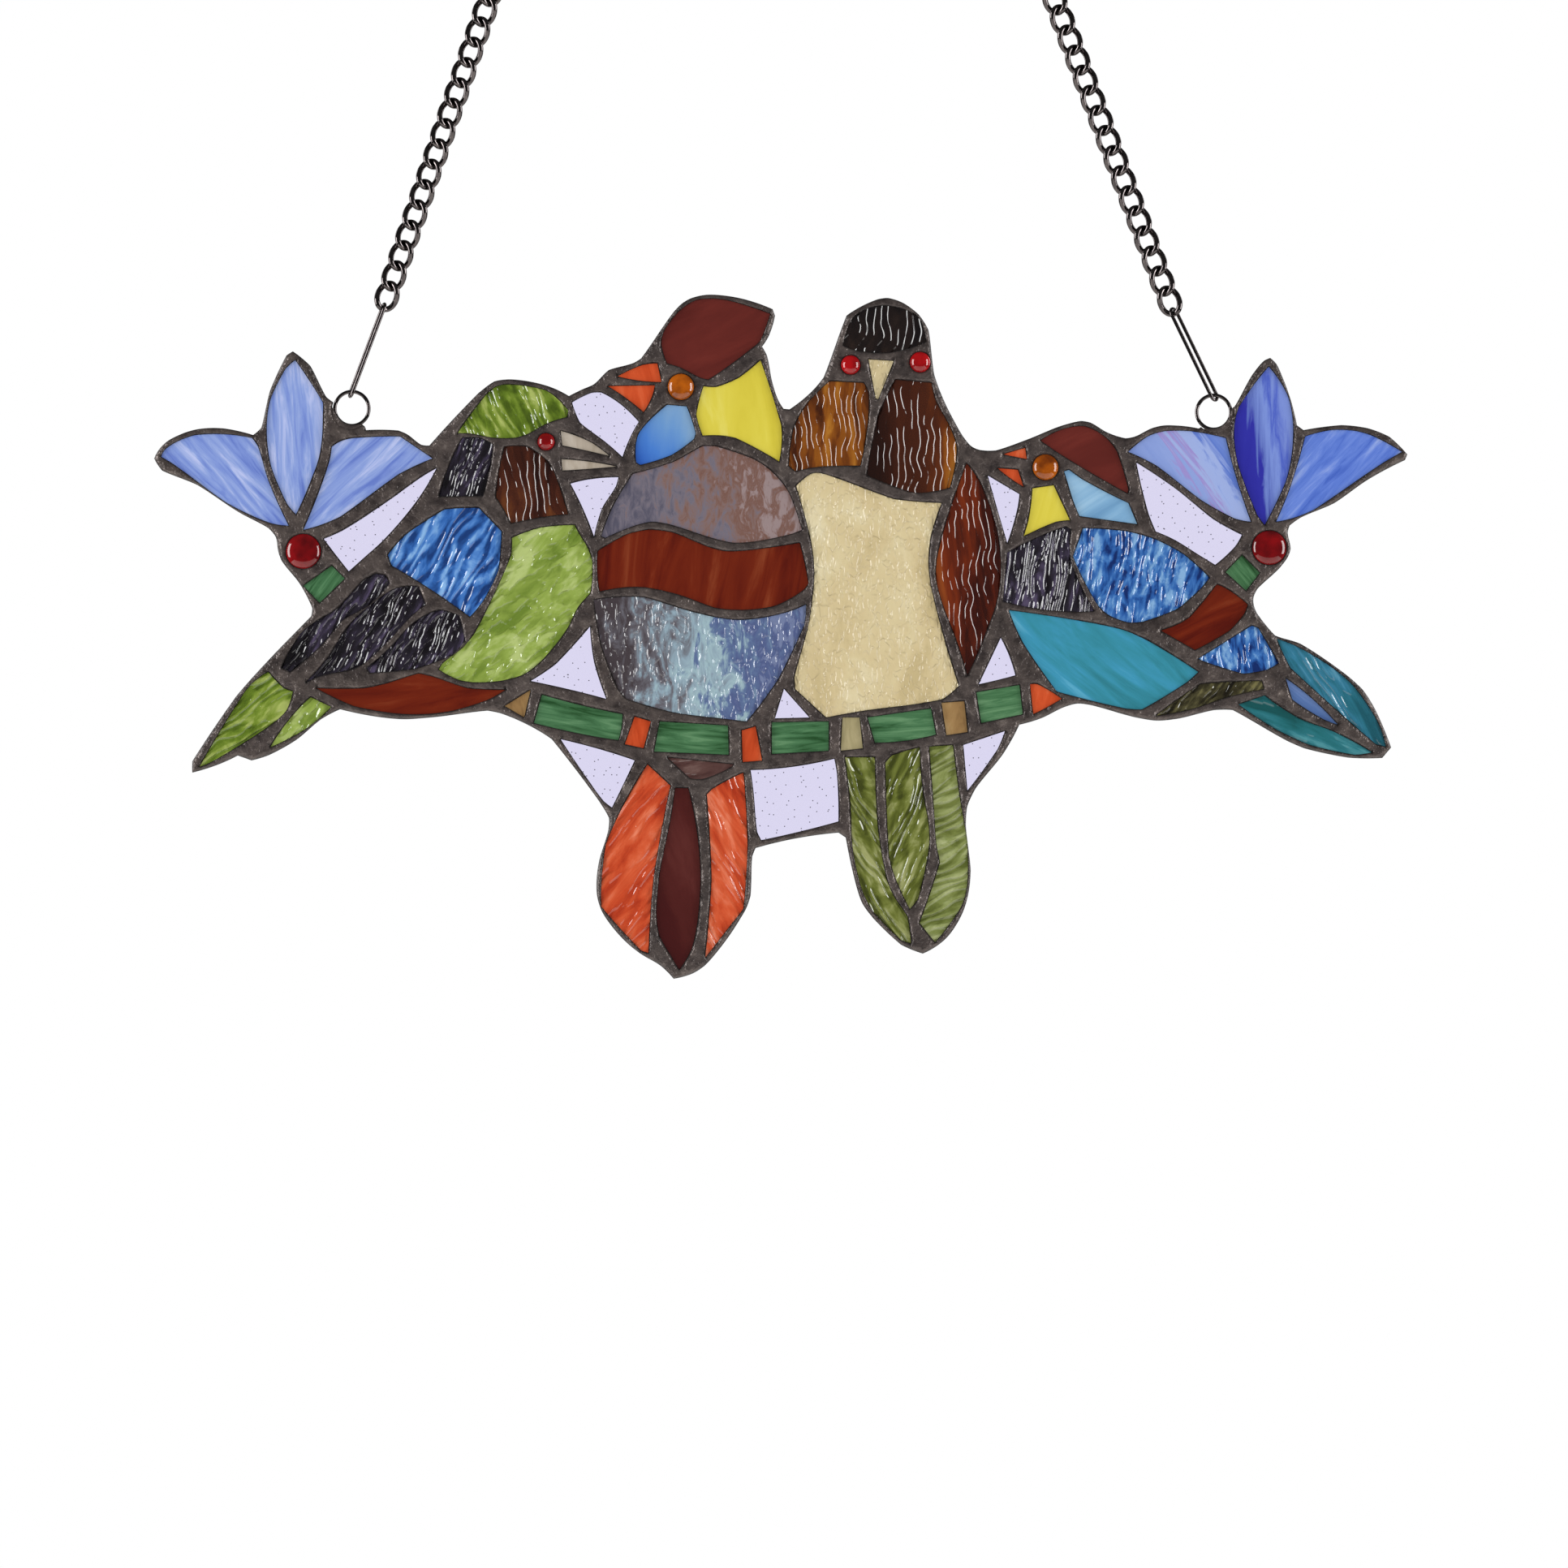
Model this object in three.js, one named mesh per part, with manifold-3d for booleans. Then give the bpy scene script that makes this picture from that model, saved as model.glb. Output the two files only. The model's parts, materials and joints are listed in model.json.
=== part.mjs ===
import * as THREE from 'three';
import { mergeVertices } from 'three/addons/utils/BufferGeometryUtils.js';
import Module from 'manifold-3d';

const wasm = await Module();
wasm.setup();

// A stained glass suncatcher: four birds on a branch between two blossoms, cut from glass, joined by
// soldered leadwork and hung on two chains. Millimetres, X to the right, Z up, the front faces -Y.
// The origin is midway between the places where the two top rings hang.

// Driving dimensions
const GLASS_THICKNESS = 3;
const LEADWORK_THICKNESS = 5;
const GLASS_GAP = 0.25;
const GLASS_BITE = 0.05;
const GEM_DOME = 3.2;
const GEM_BACK = 1.5;
const GEM_GIRDLE = 1.5;
const GEM_SHOULDER_WIDTH = 0.78;
const GEM_SHOULDER_RISE = 0.62;
const GEM_SIDES = 12;
const FACET_TOLERANCE = 0.42;
const CURVE_SAMPLES = 12;
const WELD = 1e-5;

const RING_WIRE = 1.5;
const RING_RADIUS = 7.0;
const RING_SEAT_GAP = 0.3;
const RING_SEAT_SIDES = 20;
const RING_STEPS = 14;
const WIRE_SIDES = 5;
const HOOK_WIRE = 1.0;
const HOOK_WIDTH = 4.2;
const HOOK_TURN = 0.38;
const HOOK_END_STEPS = 5;
const LINK_WIRE = 2.2;
const LINK_WIDTH = 7.8;
const LINK_PITCH = 8.83;
const LINK_BEARING = 0.45;
const LINK_TWIST = 1.4;
const LINK_STEPS = 6;
const LINK_SIDES = 4;
const LINKS = 16;
const TOP_RING_WIRE = 1.8;
const TOP_RING_RADIUS = 8;
const TOP_RING_GAP = 0.3;

// The cutting pattern lies on a grid of a third of a millimetre, x to the right and y down.
const PATTERN_STEP = 1 / 3;
const LEFT_RING = [433.5, 503.5];
const RIGHT_RING = [1495.5, 508];
const LEFT_LAST_LINK = [477, 365];
const RIGHT_LAST_LINK = [1441, 371];
const LEFT_LEAN = 0.33;
const RIGHT_LEAN = -0.364;

// Colours of the sheets of glass and of the metal
const COLOURS = {
  periwinkle: 0x7a94d6,
  red_gem: 0x8c0a0f,
  amber_gem: 0xb95a0a,
  branch_green: 0x3c784b,
  clear: 0xdad2ee,
  moss: 0x788f2d,
  sage: 0x96aa4b,
  night: 0x2c2840,
  chestnut: 0x7d2812,
  umber: 0x5f2814,
  azure: 0x3278c8,
  beige: 0xafa08c,
  tan: 0x96734b,
  orange: 0xdc5528,
  mahogany: 0x5f231e,
  lemon: 0xd7c841,
  dusk: 0x736978,
  slate: 0x506ea5,
  maroon: 0x501c1c,
  honey: 0x965a1e,
  cream: 0xd4c496,
  olive: 0x73822d,
  teal: 0x328ca5,
  sky: 0x6ea5cd,
  bronze: 0x46411f,
};
const SOLDER = 0x5a5250;
const BLACK_NICKEL = 0x3a3636;

const tiles = [];
const leadEdge = [];

// One tile: its outline is a ring of sides, each a smooth curve through the points x, y, x, y, ...
function tile(name, glass, ...sides) {
  tiles.push({ name, glass, sides, fused: false });
}

// A small tile, whose solid is one with the leadwork that grips it.
function smallTile(name, glass, ...sides) {
  tiles.push({ name, glass, sides, fused: true });
}

// A round domed gem with its centre and radius on the pattern.
function gem(name, glass, x, y, radius) {
  tiles.push({ name, glass, centre: [x, y], radius, fused: true });
}

function leftBlossom() {
  tile('left_blossom_petal_left', 'periwinkle',
    [199, 563, 204, 554, 238, 537, 287, 536, 311, 540],
    [318, 550, 330, 590, 356, 648],
    [335, 645, 287, 624, 245, 596, 211, 570]);
  tile('left_blossom_petal_top', 'periwinkle',
    [364, 444, 388, 479, 398, 496],
    [398, 512, 395, 556, 386, 585, 365, 634],
    [354, 621, 335, 577, 329, 527, 335, 488, 352, 455]);
  tile('left_blossom_petal_right', 'periwinkle',
    [409, 551, 425, 542, 471, 538, 493, 538],
    [533, 565, 497, 581, 456, 610, 417, 638, 374, 653],
    [393, 607, 407, 565]);
  gem('left_blossom_center', 'red_gem', 374, 679.5, 21.3);
  smallTile('left_blossom_stem', 'branch_green', [374, 722, 409, 697], [425, 713, 394, 743]);
}

function rightBlossom() {
  tile('right_blossom_petal_left', 'periwinkle',
    [1390, 557, 1420, 535, 1460, 531, 1510, 540],
    [1518, 572, 1531, 616, 1541, 643],
    [1521, 639, 1484, 619, 1425, 574]);
  tile('right_blossom_petal_top', 'periwinkle',
    [1563, 452, 1586, 487, 1593, 531, 1585, 590, 1558, 647],
    [1549, 635, 1523, 562, 1524, 508, 1552, 465]);
  tile('right_blossom_petal_right', 'periwinkle',
    [1608, 538, 1642, 530, 1682, 534, 1727, 557],
    [1706, 569, 1649, 608, 1611, 632, 1572, 643],
    [1588, 605]);
  gem('right_blossom_center', 'red_gem', 1563.6, 675, 21);
  smallTile('right_blossom_stem', 'branch_green', [1510, 705, 1530, 684], [1552, 706, 1535, 728]);
}

function leftBird() {
  tile('left_bird_crest', 'moss',
    [564, 534, 588, 500, 613, 476, 649, 476, 676, 483, 700, 506],
    [699, 514, 676, 521, 642, 538, 615, 540, 577, 534]);
  tile('left_bird_nape', 'night', [541, 612, 552, 578, 570, 540], [592, 540, 607, 548], [606, 562, 595, 611]);
  tile('left_bird_cheek', 'umber',
    [622, 551, 649, 551, 677, 572, 688, 597, 700, 634],
    [684, 635, 649, 642, 630, 645],
    [624, 633, 611, 612, 613, 593]);
  gem('left_bird_eye', 'red_gem', 673, 544.5, 10.5);
  smallTile('left_bird_beak_upper', 'beige', [691, 531, 726, 544, 751, 562], [730, 557, 693, 549]);
  smallTile('left_bird_beak_lower', 'beige', [692, 566, 726, 569, 760, 575], [737, 577, 693, 580]);
  tile('left_bird_wing', 'azure',
    [478, 684, 499, 660, 548, 628],
    [590, 626, 618, 655],
    [614, 703, 595, 741, 579, 760],
    [547, 737, 505, 711, 483, 697]);
  tile('left_bird_feather_outer', 'night',
    [347, 823, 374, 778, 416, 750, 450, 714, 463, 707],
    [475, 709, 480, 719],
    [456, 745, 422, 764, 396, 795, 358, 828]);
  tile('left_bird_feather_middle', 'night',
    [377, 841, 404, 811, 434, 766, 484, 727, 499, 723],
    [516, 723, 524, 745],
    [507, 759, 472, 796, 443, 821, 397, 832]);
  tile('left_bird_feather_inner', 'night',
    [452, 823, 477, 802, 506, 771, 527, 757],
    [543, 752, 566, 759],
    [573, 789],
    [557, 807, 516, 823, 456, 829]);
  tile('left_bird_breast', 'sage',
    [631, 663, 662, 651, 708, 647],
    [712, 655, 729, 688, 727, 732],
    [713, 747, 694, 782, 652, 827, 622, 838, 570, 839, 541, 825],
    [545, 818, 579, 789, 606, 739, 630, 684]);
  tile('left_bird_belly', 'chestnut',
    [390, 848, 450, 848, 516, 830],
    [530, 833, 576, 848, 623, 850],
    [602, 862, 556, 876, 499, 880, 436, 870]);
  tile('left_bird_tail', 'moss',
    [331, 828, 308, 845, 275, 898, 246, 945],
    [258, 940, 302, 914, 352, 877, 361, 852],
    [350, 848]);
  smallTile('left_bird_tail_small', 'sage',
    [383, 859, 408, 871],
    [402, 878, 377, 898, 333, 921],
    [358, 885]);
}

function secondBird() {
  tile('second_bird_head', 'mahogany',
    [815, 425, 819, 407, 853, 372, 894, 370, 949, 387],
    [942, 407, 936, 421],
    [923, 432, 873, 468],
    [864, 466, 833, 451, 822, 448]);
  gem('second_bird_eye', 'amber_gem', 839, 477, 16);
  smallTile('second_bird_beak_upper', 'orange', [761, 464, 795, 449, 810, 448], [815, 471, 795, 470]);
  smallTile('second_bird_beak_lower', 'orange', [749, 476, 807, 475], [802, 492, 793, 508], [776, 494]);
  tile('second_bird_throat', 'azure',
    [822, 499, 846, 501],
    [857, 534, 855, 541],
    [827, 561, 789, 573],
    [784, 570, 786, 537, 816, 504]);
  tile('second_bird_neck', 'lemon',
    [937, 444, 952, 492, 963, 528, 960, 569],
    [954, 565, 904, 539, 866, 537],
    [858, 511, 867, 476],
    [883, 477, 910, 466]);
  tile('second_bird_back', 'dusk',
    [780, 584, 833, 568, 866, 550],
    [881, 550, 936, 570, 970, 604, 988, 653],
    [975, 658, 907, 669, 853, 655, 803, 643, 746, 663],
    [741, 661, 755, 625]);
  tile('second_bird_band', 'chestnut',
    [737, 679, 780, 656, 819, 654, 891, 679, 937, 676, 985, 669],
    [989, 684, 996, 719],
    [991, 726, 956, 746, 887, 750, 830, 731, 784, 723, 739, 729],
    [736, 704]);
  tile('second_bird_belly', 'slate',
    [732, 739, 792, 736, 853, 754, 910, 764, 968, 755, 993, 745],
    [991, 770, 958, 838, 920, 889],
    [904, 887, 831, 878, 772, 861],
    [762, 849, 741, 795]);
  smallTile('second_bird_tail_root', 'maroon', [822, 933, 905, 942], [896, 948, 866, 960], [850, 959]);
  tile('second_bird_tail_left', 'orange',
    [798, 942, 826, 968],
    [822, 987, 805, 1083, 799, 1174],
    [790, 1171, 741, 1117],
    [741, 1092, 747, 1039, 769, 991]);
  tile('second_bird_tail_center', 'maroon',
    [832, 971, 848, 971],
    [859, 1027, 863, 1088, 853, 1167, 837, 1195],
    [828, 1180, 811, 1148, 811, 1092, 828, 1000]);
  tile('second_bird_tail_right', 'orange',
    [916, 952, 921, 1042, 916, 1119],
    [903, 1136, 869, 1180],
    [877, 1083, 871, 979],
    [878, 972]);
}

function thirdBird() {
  tile('third_bird_cap', 'night',
    [1039, 426, 1053, 390, 1089, 377, 1131, 391, 1141, 421],
    [1127, 427, 1093, 435, 1055, 432]);
  gem('third_bird_eye_left', 'red_gem', 1048, 450, 11.7);
  gem('third_bird_eye_right', 'red_gem', 1133.6, 446.6, 12.5);
  smallTile('third_bird_beak', 'beige', [1070, 443, 1101, 445], [1082, 492, 1079, 491]);
  tile('third_bird_shoulder_left', 'honey',
    [1022, 470, 1064, 472],
    [1070, 484, 1070, 513, 1060, 574],
    [1043, 574, 1003, 576, 980, 581],
    [972, 574, 978, 528, 995, 497]);
  tile('third_bird_shoulder_right', 'umber',
    [1103, 468, 1148, 472],
    [1152, 492, 1178, 549, 1170, 601],
    [1154, 605, 1124, 607, 1068, 586],
    [1082, 513]);
  tile('third_bird_body', 'cream',
    [999, 584, 1010, 583, 1059, 601, 1105, 616, 1160, 620],
    [1147, 659, 1144, 702, 1159, 772, 1181, 845],
    [1162, 861],
    [1137, 866, 1049, 878, 1018, 884],
    [980, 849],
    [979, 835, 996, 770, 1003, 690, 981, 599]);
  tile('third_bird_wing', 'chestnut',
    [1191, 571, 1207, 594, 1229, 659, 1230, 732, 1192, 833],
    [1180, 793, 1153, 709, 1165, 646]);
  tile('third_bird_tail_left', 'olive',
    [1041, 933, 1078, 933],
    [1081, 1015, 1095, 1091, 1118, 1130],
    [1122, 1162],
    [1110, 1158, 1070, 1114, 1051, 1047, 1048, 992]);
  tile('third_bird_tail_center', 'olive',
    [1099, 931, 1133, 921],
    [1137, 976, 1145, 1034, 1131, 1107],
    [1121, 1120, 1097, 1063, 1093, 1005, 1091, 940]);
  tile('third_bird_tail_right', 'olive',
    [1145, 920, 1174, 918],
    [1181, 973, 1192, 1049, 1187, 1110, 1152, 1161],
    [1133, 1137, 1143, 1108, 1158, 1063],
    [1154, 1042, 1150, 986]);
}

function rightBird() {
  tile('right_bird_head', 'mahogany',
    [1282, 543, 1307, 530, 1338, 526, 1372, 550, 1390, 603],
    [1389, 608, 1342, 580, 1305, 559]);
  gem('right_bird_eye', 'amber_gem', 1288, 576, 15.7);
  smallTile('right_bird_beak_upper', 'orange', [1236, 560, 1263, 552], [1265, 566]);
  smallTile('right_bird_beak_lower', 'orange', [1229, 577, 1254, 579], [1261, 600, 1240, 586]);
  tile('right_bird_throat', 'lemon',
    [1272, 602, 1298, 598],
    [1318, 641],
    [1301, 643, 1261, 661],
    [1267, 642]);
  tile('right_bird_neck', 'sky',
    [1311, 581, 1317, 579],
    [1332, 590, 1390, 620],
    [1401, 646, 1330, 636],
    [1324, 622]);
  tile('right_bird_chest', 'night',
    [1241, 681, 1282, 661, 1313, 649],
    [1319, 653, 1319, 691, 1348, 753],
    [1332, 754, 1284, 751, 1236, 741]);
  tile('right_bird_wing', 'azure',
    [1334, 651, 1399, 657, 1452, 679, 1490, 712],
    [1481, 723, 1451, 750, 1408, 766],
    [1390, 767, 1359, 753, 1322, 686]);
  tile('right_bird_rump', 'chestnut',
    [1430, 777, 1464, 762, 1499, 720],
    [1512, 726, 1537, 745],
    [1533, 756, 1516, 776, 1472, 801]);
  smallTile('right_bird_flank', 'slate',
    [1476, 812, 1512, 789, 1542, 771],
    [1550, 774, 1575, 817],
    [1561, 825, 1531, 830]);
  tile('right_bird_belly', 'teal',
    [1243, 752, 1323, 764, 1394, 780, 1476, 828],
    [1463, 840, 1407, 874],
    [1387, 873, 1302, 852],
    [1291, 837, 1260, 791]);
  smallTile('right_bird_undertail', 'bronze',
    [1424, 882, 1464, 854, 1479, 843],
    [1554, 839, 1557, 849],
    [1516, 858, 1466, 874]);
  tile('right_bird_tail_upper', 'teal',
    [1573, 787, 1602, 799, 1661, 839, 1697, 890, 1707, 920],
    [1695, 917, 1649, 877, 1604, 835, 1590, 823]);
  smallTile('right_bird_tail_middle', 'slate', [1584, 836, 1613, 858, 1648, 893], [1630, 886, 1592, 862]);
  tile('right_bird_tail_lower', 'teal',
    [1526, 868, 1558, 857],
    [1567, 864, 1604, 887, 1644, 902, 1690, 927],
    [1669, 930, 1611, 917, 1571, 898]);
}

function branch() {
  smallTile('branch_toe_left', 'tan', [622, 870, 654, 850], [646, 884]);
  smallTile('branch_section_1', 'branch_green',
    [668, 856, 720, 870, 767, 880],
    [766, 895, 762, 912],
    [736, 908, 658, 891]);
  smallTile('branch_foot_1', 'orange', [782, 883, 802, 889], [793, 922, 770, 917]);
  smallTile('branch_section_2', 'branch_green', [813, 889, 897, 894], [898, 930, 860, 929, 806, 926]);
  smallTile('branch_foot_2', 'orange', [914, 900, 931, 895], [939, 937, 915, 939]);
  smallTile('branch_section_3', 'branch_green', [951, 890, 1021, 889], [1021, 925], [951, 929]);
  smallTile('branch_foot_3', 'tan', [1038, 884, 1059, 884], [1063, 922, 1036, 925]);
  smallTile('branch_section_4', 'branch_green', [1069, 884, 1147, 873], [1153, 905], [1120, 912, 1078, 915]);
  smallTile('branch_foot_4', 'tan', [1160, 866, 1188, 864], [1192, 902, 1166, 906]);
  smallTile('branch_section_5', 'branch_green', [1203, 853, 1256, 844], [1260, 880], [1209, 891]);
  smallTile('branch_toe_right', 'orange', [1269, 843, 1278, 843], [1308, 861], [1287, 873, 1273, 880]);
}

function clearPanes() {
  tile('clear_pane_by_left_blossom', 'clear',
    [538, 577, 518, 611, 478, 660, 430, 704],
    [422, 694, 399, 664],
    [422, 654, 476, 619, 524, 585]);
  tile('clear_pane_between_beaks', 'clear',
    [705, 496, 736, 483, 763, 497, 787, 520],
    [781, 530, 767, 563],
    [749, 547, 715, 521]);
  tile('clear_pane_below_beaks', 'clear',
    [703, 596, 718, 592, 762, 588],
    [759, 599, 742, 626, 732, 661],
    [722, 635]);
  tile('clear_pane_over_branch', 'clear', [654, 839, 683, 820, 727, 772], [732, 816, 747, 861], [700, 849]);
  tile('clear_pane_under_branch_left', 'clear',
    [691, 911, 745, 925, 782, 937],
    [774, 954, 754, 995],
    [744, 987, 720, 954]);
  tile('clear_pane_under_branch_center', 'clear',
    [925, 949, 976, 945, 1028, 935],
    [1031, 952, 1033, 1012],
    [1015, 1017, 938, 1035],
    [933, 1025, 928, 971]);
  smallTile('clear_pane_notch_left', 'clear', [966, 849, 997, 884], [955, 885]);
  tile('clear_pane_under_branch_right', 'clear',
    [1187, 918, 1210, 911, 1238, 901],
    [1229, 923, 1213, 946, 1192, 974]);
  smallTile('clear_pane_notch_right', 'clear', [1233, 786, 1243, 807, 1251, 832], [1228, 838, 1206, 843]);
  tile('clear_pane_between_birds', 'clear', [1217, 586, 1256, 609], [1254, 624, 1241, 669], [1233, 642]);
  tile('clear_pane_by_right_blossom', 'clear',
    [1400, 570, 1448, 602, 1498, 642, 1530, 659],
    [1522, 673, 1497, 696],
    [1479, 685, 1441, 662, 1424, 655],
    [1415, 633]);
}

// The outer edge of the leadwork, clockwise from the tip of the left blossom.
function outerEdge() {
  leadEdge.push(
    [361, 433, 381, 449, 402, 489],
    [449, 525],
    [451, 530, 493, 531, 519, 548],
    [529, 549, 552, 526, 580, 494, 609, 470, 645, 469, 684, 479, 701, 488],
    [717, 480, 731, 474, 750, 456, 787, 444, 806, 419, 839, 375, 864, 364, 910, 367, 952, 381],
    [955, 389, 946, 417, 939, 427],
    [945, 438, 955, 482, 968, 505, 994, 488, 1016, 463, 1030, 421, 1043, 389],
    [1055, 381, 1091, 367, 1122, 379, 1143, 404, 1151, 461, 1177, 521, 1200, 552, 1227, 555],
    [1267, 541, 1313, 523, 1338, 519, 1367, 534, 1390, 540, 1424, 526, 1443, 524, 1477, 528],
    [1521, 501, 1545, 459, 1565, 441, 1585, 477, 1598, 524],
    [1606, 530, 1663, 524, 1710, 537, 1734, 560],
    [1731, 567, 1684, 592, 1644, 620, 1588, 649, 1590, 678, 1580, 696, 1546, 731, 1546, 750, 1571, 783],
    [1602, 793, 1646, 822, 1684, 856, 1714, 921],
    [1703, 934, 1665, 934, 1604, 921, 1563, 900, 1519, 875],
    [1496, 875, 1431, 888, 1381, 880, 1327, 867, 1283, 885, 1256, 893],
    [1236, 929, 1196, 982, 1190, 1009, 1196, 1072, 1188, 1120, 1164, 1158, 1137, 1175],
    [1110, 1164, 1064, 1116, 1050, 1068, 1042, 1032],
    [1033, 1026, 976, 1034, 931, 1045],
    [927, 1055, 924, 1107, 907, 1140, 862, 1195, 830, 1206],
    [814, 1190, 776, 1165, 739, 1117, 736, 1073, 750, 1020, 750, 1007, 711, 952, 680, 911],
    [650, 893, 604, 876, 551, 882, 488, 886, 419, 874],
    [396, 886, 360, 915, 310, 937, 293, 931],
    [274, 940, 237, 952],
    [237, 938, 262, 902, 291, 858, 321, 823, 335, 809],
    [369, 774, 385, 755, 371, 722, 346, 689, 340, 662],
    [331, 651, 299, 634, 240, 596, 200, 580],
    [190, 565, 202, 547, 238, 530, 277, 528, 312, 536],
    [322, 527, 327, 502, 334, 478, 353, 438]);
}

// Where the chain on one side ends: its direction, its last link and the seat of its top ring.
function chainLine(lastLink, lean) {
  const up = [Math.sin(lean), Math.cos(lean)];
  const reach = (LINKS - 1) * LINK_PITCH;
  const ringLift = linkHalfLength - (LINK_WIRE + TOP_RING_WIRE) / 2 - TOP_RING_GAP + TOP_RING_RADIUS;
  const seatLift = reach + ringLift + TOP_RING_RADIUS - TOP_RING_WIRE / 2;
  const along = (lift) => [
    lastLink[0] + (up[0] * lift) / PATTERN_STEP,
    lastLink[1] - (up[1] * lift) / PATTERN_STEP,
  ];
  return { lean, lastLink, ring: along(reach + ringLift), seat: along(seatLift) };
}

const linkHalfLength = (LINK_PITCH + LINK_WIRE - LINK_BEARING) / 2;
const leftChain = chainLine(LEFT_LAST_LINK, LEFT_LEAN);
const rightChain = chainLine(RIGHT_LAST_LINK, RIGHT_LEAN);
const ORIGIN_X = (leftChain.seat[0] + rightChain.seat[0]) / 2;
const ORIGIN_Y = (leftChain.seat[1] + rightChain.seat[1]) / 2;

// A point of the pattern in millimetres, across and up from the origin.
function onPattern(x, y) {
  return new THREE.Vector2((x - ORIGIN_X) * PATTERN_STEP, (ORIGIN_Y - y) * PATTERN_STEP);
}

// The same place in space, on the panel's middle plane.
function inPlane([x, y]) {
  const point = onPattern(x, y);
  return new THREE.Vector3(point.x, 0, point.y);
}

function distanceToLine(point, start, end) {
  const line = new THREE.Line3(
    new THREE.Vector3(start.x, start.y, 0),
    new THREE.Vector3(end.x, end.y, 0));
  const place = new THREE.Vector3(point.x, point.y, 0);
  return line.closestPointToPoint(place, true, new THREE.Vector3()).distanceTo(place);
}

// Keeps only the points that a chain of straight facets needs to stay within the tolerance.
function facets(points, tolerance) {
  let farthest = 0;
  let worst = tolerance;
  for (let i = 1; i < points.length - 1; i += 1) {
    const distance = distanceToLine(points[i], points[0], points[points.length - 1]);
    if (distance > worst) {
      worst = distance;
      farthest = i;
    }
  }
  if (farthest === 0) return [points[0], points[points.length - 1]];
  const before = facets(points.slice(0, farthest + 1), tolerance);
  const after = facets(points.slice(farthest), tolerance);
  return [...before.slice(0, -1), ...after];
}

// One side of an outline: facets of a smooth curve through its points.
function smoothSide(numbers) {
  const points = [];
  for (let i = 0; i < numbers.length; i += 2) points.push(onPattern(numbers[i], numbers[i + 1]));
  if (points.length < 3) return points;
  const lifted = points.map((point) => new THREE.Vector3(point.x, point.y, 0));
  const curve = new THREE.CatmullRomCurve3(lifted, false, 'centripetal');
  const samples = curve.getPoints(CURVE_SAMPLES * points.length);
  return facets(samples.map((point) => new THREE.Vector2(point.x, point.y)), FACET_TOLERANCE);
}

// A closed outline, counter-clockwise.
function outline(sides) {
  const points = sides.flatMap(smoothSide);
  return THREE.ShapeUtils.isClockWise(points) ? points.reverse() : points;
}

function roundOutline([x, y], radius) {
  const centre = onPattern(x, y);
  return Array.from({ length: GEM_SIDES }, (_, i) => {
    const angle = (2 * Math.PI * i) / GEM_SIDES;
    return new THREE.Vector2(
      centre.x + radius * PATTERN_STEP * Math.cos(angle),
      centre.y + radius * PATTERN_STEP * Math.sin(angle));
  });
}

// The outline moved inwards by a distance, each corner along its bisector.
function inset(points, distance) {
  return points.map((point, i) => {
    const before = points[(i + points.length - 1) % points.length];
    const after = points[(i + 1) % points.length];
    const arriving = new THREE.Vector2().subVectors(point, before).normalize();
    const leaving = new THREE.Vector2().subVectors(after, point).normalize();
    const normal = new THREE.Vector2(-arriving.y - leaving.y, arriving.x + leaving.x).normalize();
    const share = normal.x * -arriving.y + normal.y * arriving.x;
    return point.clone().addScaledVector(normal, distance / share);
  });
}

// A flat plate of an outline, upright in the panel, half of its thickness on each side of Y = 0.
function plate(points, thickness) {
  const shape = new THREE.Shape(points);
  const geometry = new THREE.ExtrudeGeometry(shape, { depth: thickness, bevelEnabled: false });
  geometry.translate(0, 0, -thickness / 2);
  return geometry.rotateX(Math.PI / 2);
}

// A domed gem: a flat back, a straight girdle and a round dome towards the front.
function domedGem(centre, radius) {
  const profile = [
    new THREE.Vector2(0, -GEM_BACK),
    new THREE.Vector2(radius, -GEM_BACK),
    new THREE.Vector2(radius, GEM_GIRDLE),
    new THREE.Vector2(radius * GEM_SHOULDER_WIDTH, GEM_GIRDLE + GEM_DOME * GEM_SHOULDER_RISE),
    new THREE.Vector2(0, GEM_GIRDLE + GEM_DOME),
  ];
  const geometry = new THREE.LatheGeometry(profile, GEM_SIDES);
  geometry.rotateX(Math.PI);
  const place = inPlane(centre);
  return geometry.translate(place.x, 0, place.z);
}

function solidOf(geometry) {
  const bare = geometry.clone();
  bare.deleteAttribute('normal');
  bare.deleteAttribute('uv');
  const merged = mergeVertices(bare, WELD);
  const mesh = new wasm.Mesh({
    numProp: 3,
    vertProperties: new Float32Array(merged.attributes.position.array),
    triVerts: new Uint32Array(merged.index.array),
  });
  return new wasm.Manifold(mesh);
}

function geometryOf(solid) {
  const mesh = solid.getMesh();
  const geometry = new THREE.BufferGeometry();
  geometry.setAttribute('position', new THREE.BufferAttribute(mesh.vertProperties, 3));
  geometry.setIndex(new THREE.BufferAttribute(mesh.triVerts, 1));
  return geometry;
}

function named(name, geometry, colour, roughness, metalness) {
  const material = new THREE.MeshStandardMaterial({ color: colour, roughness, metalness });
  const mesh = new THREE.Mesh(geometry, material);
  mesh.name = name;
  return mesh;
}

function windowOf(item) {
  return item.radius ? roundOutline(item.centre, item.radius) : outline(item.sides);
}

// The disc that a soldered ring lies against, cut out of the leadwork's edge.
function ringSeat(centre) {
  const radius = RING_RADIUS + RING_WIRE / 2 + RING_SEAT_GAP;
  const disc = new THREE.CylinderGeometry(radius, radius, 2 * LEADWORK_THICKNESS, RING_SEAT_SIDES);
  const place = inPlane(centre);
  return solidOf(disc.translate(place.x, 0, place.z));
}

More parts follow.
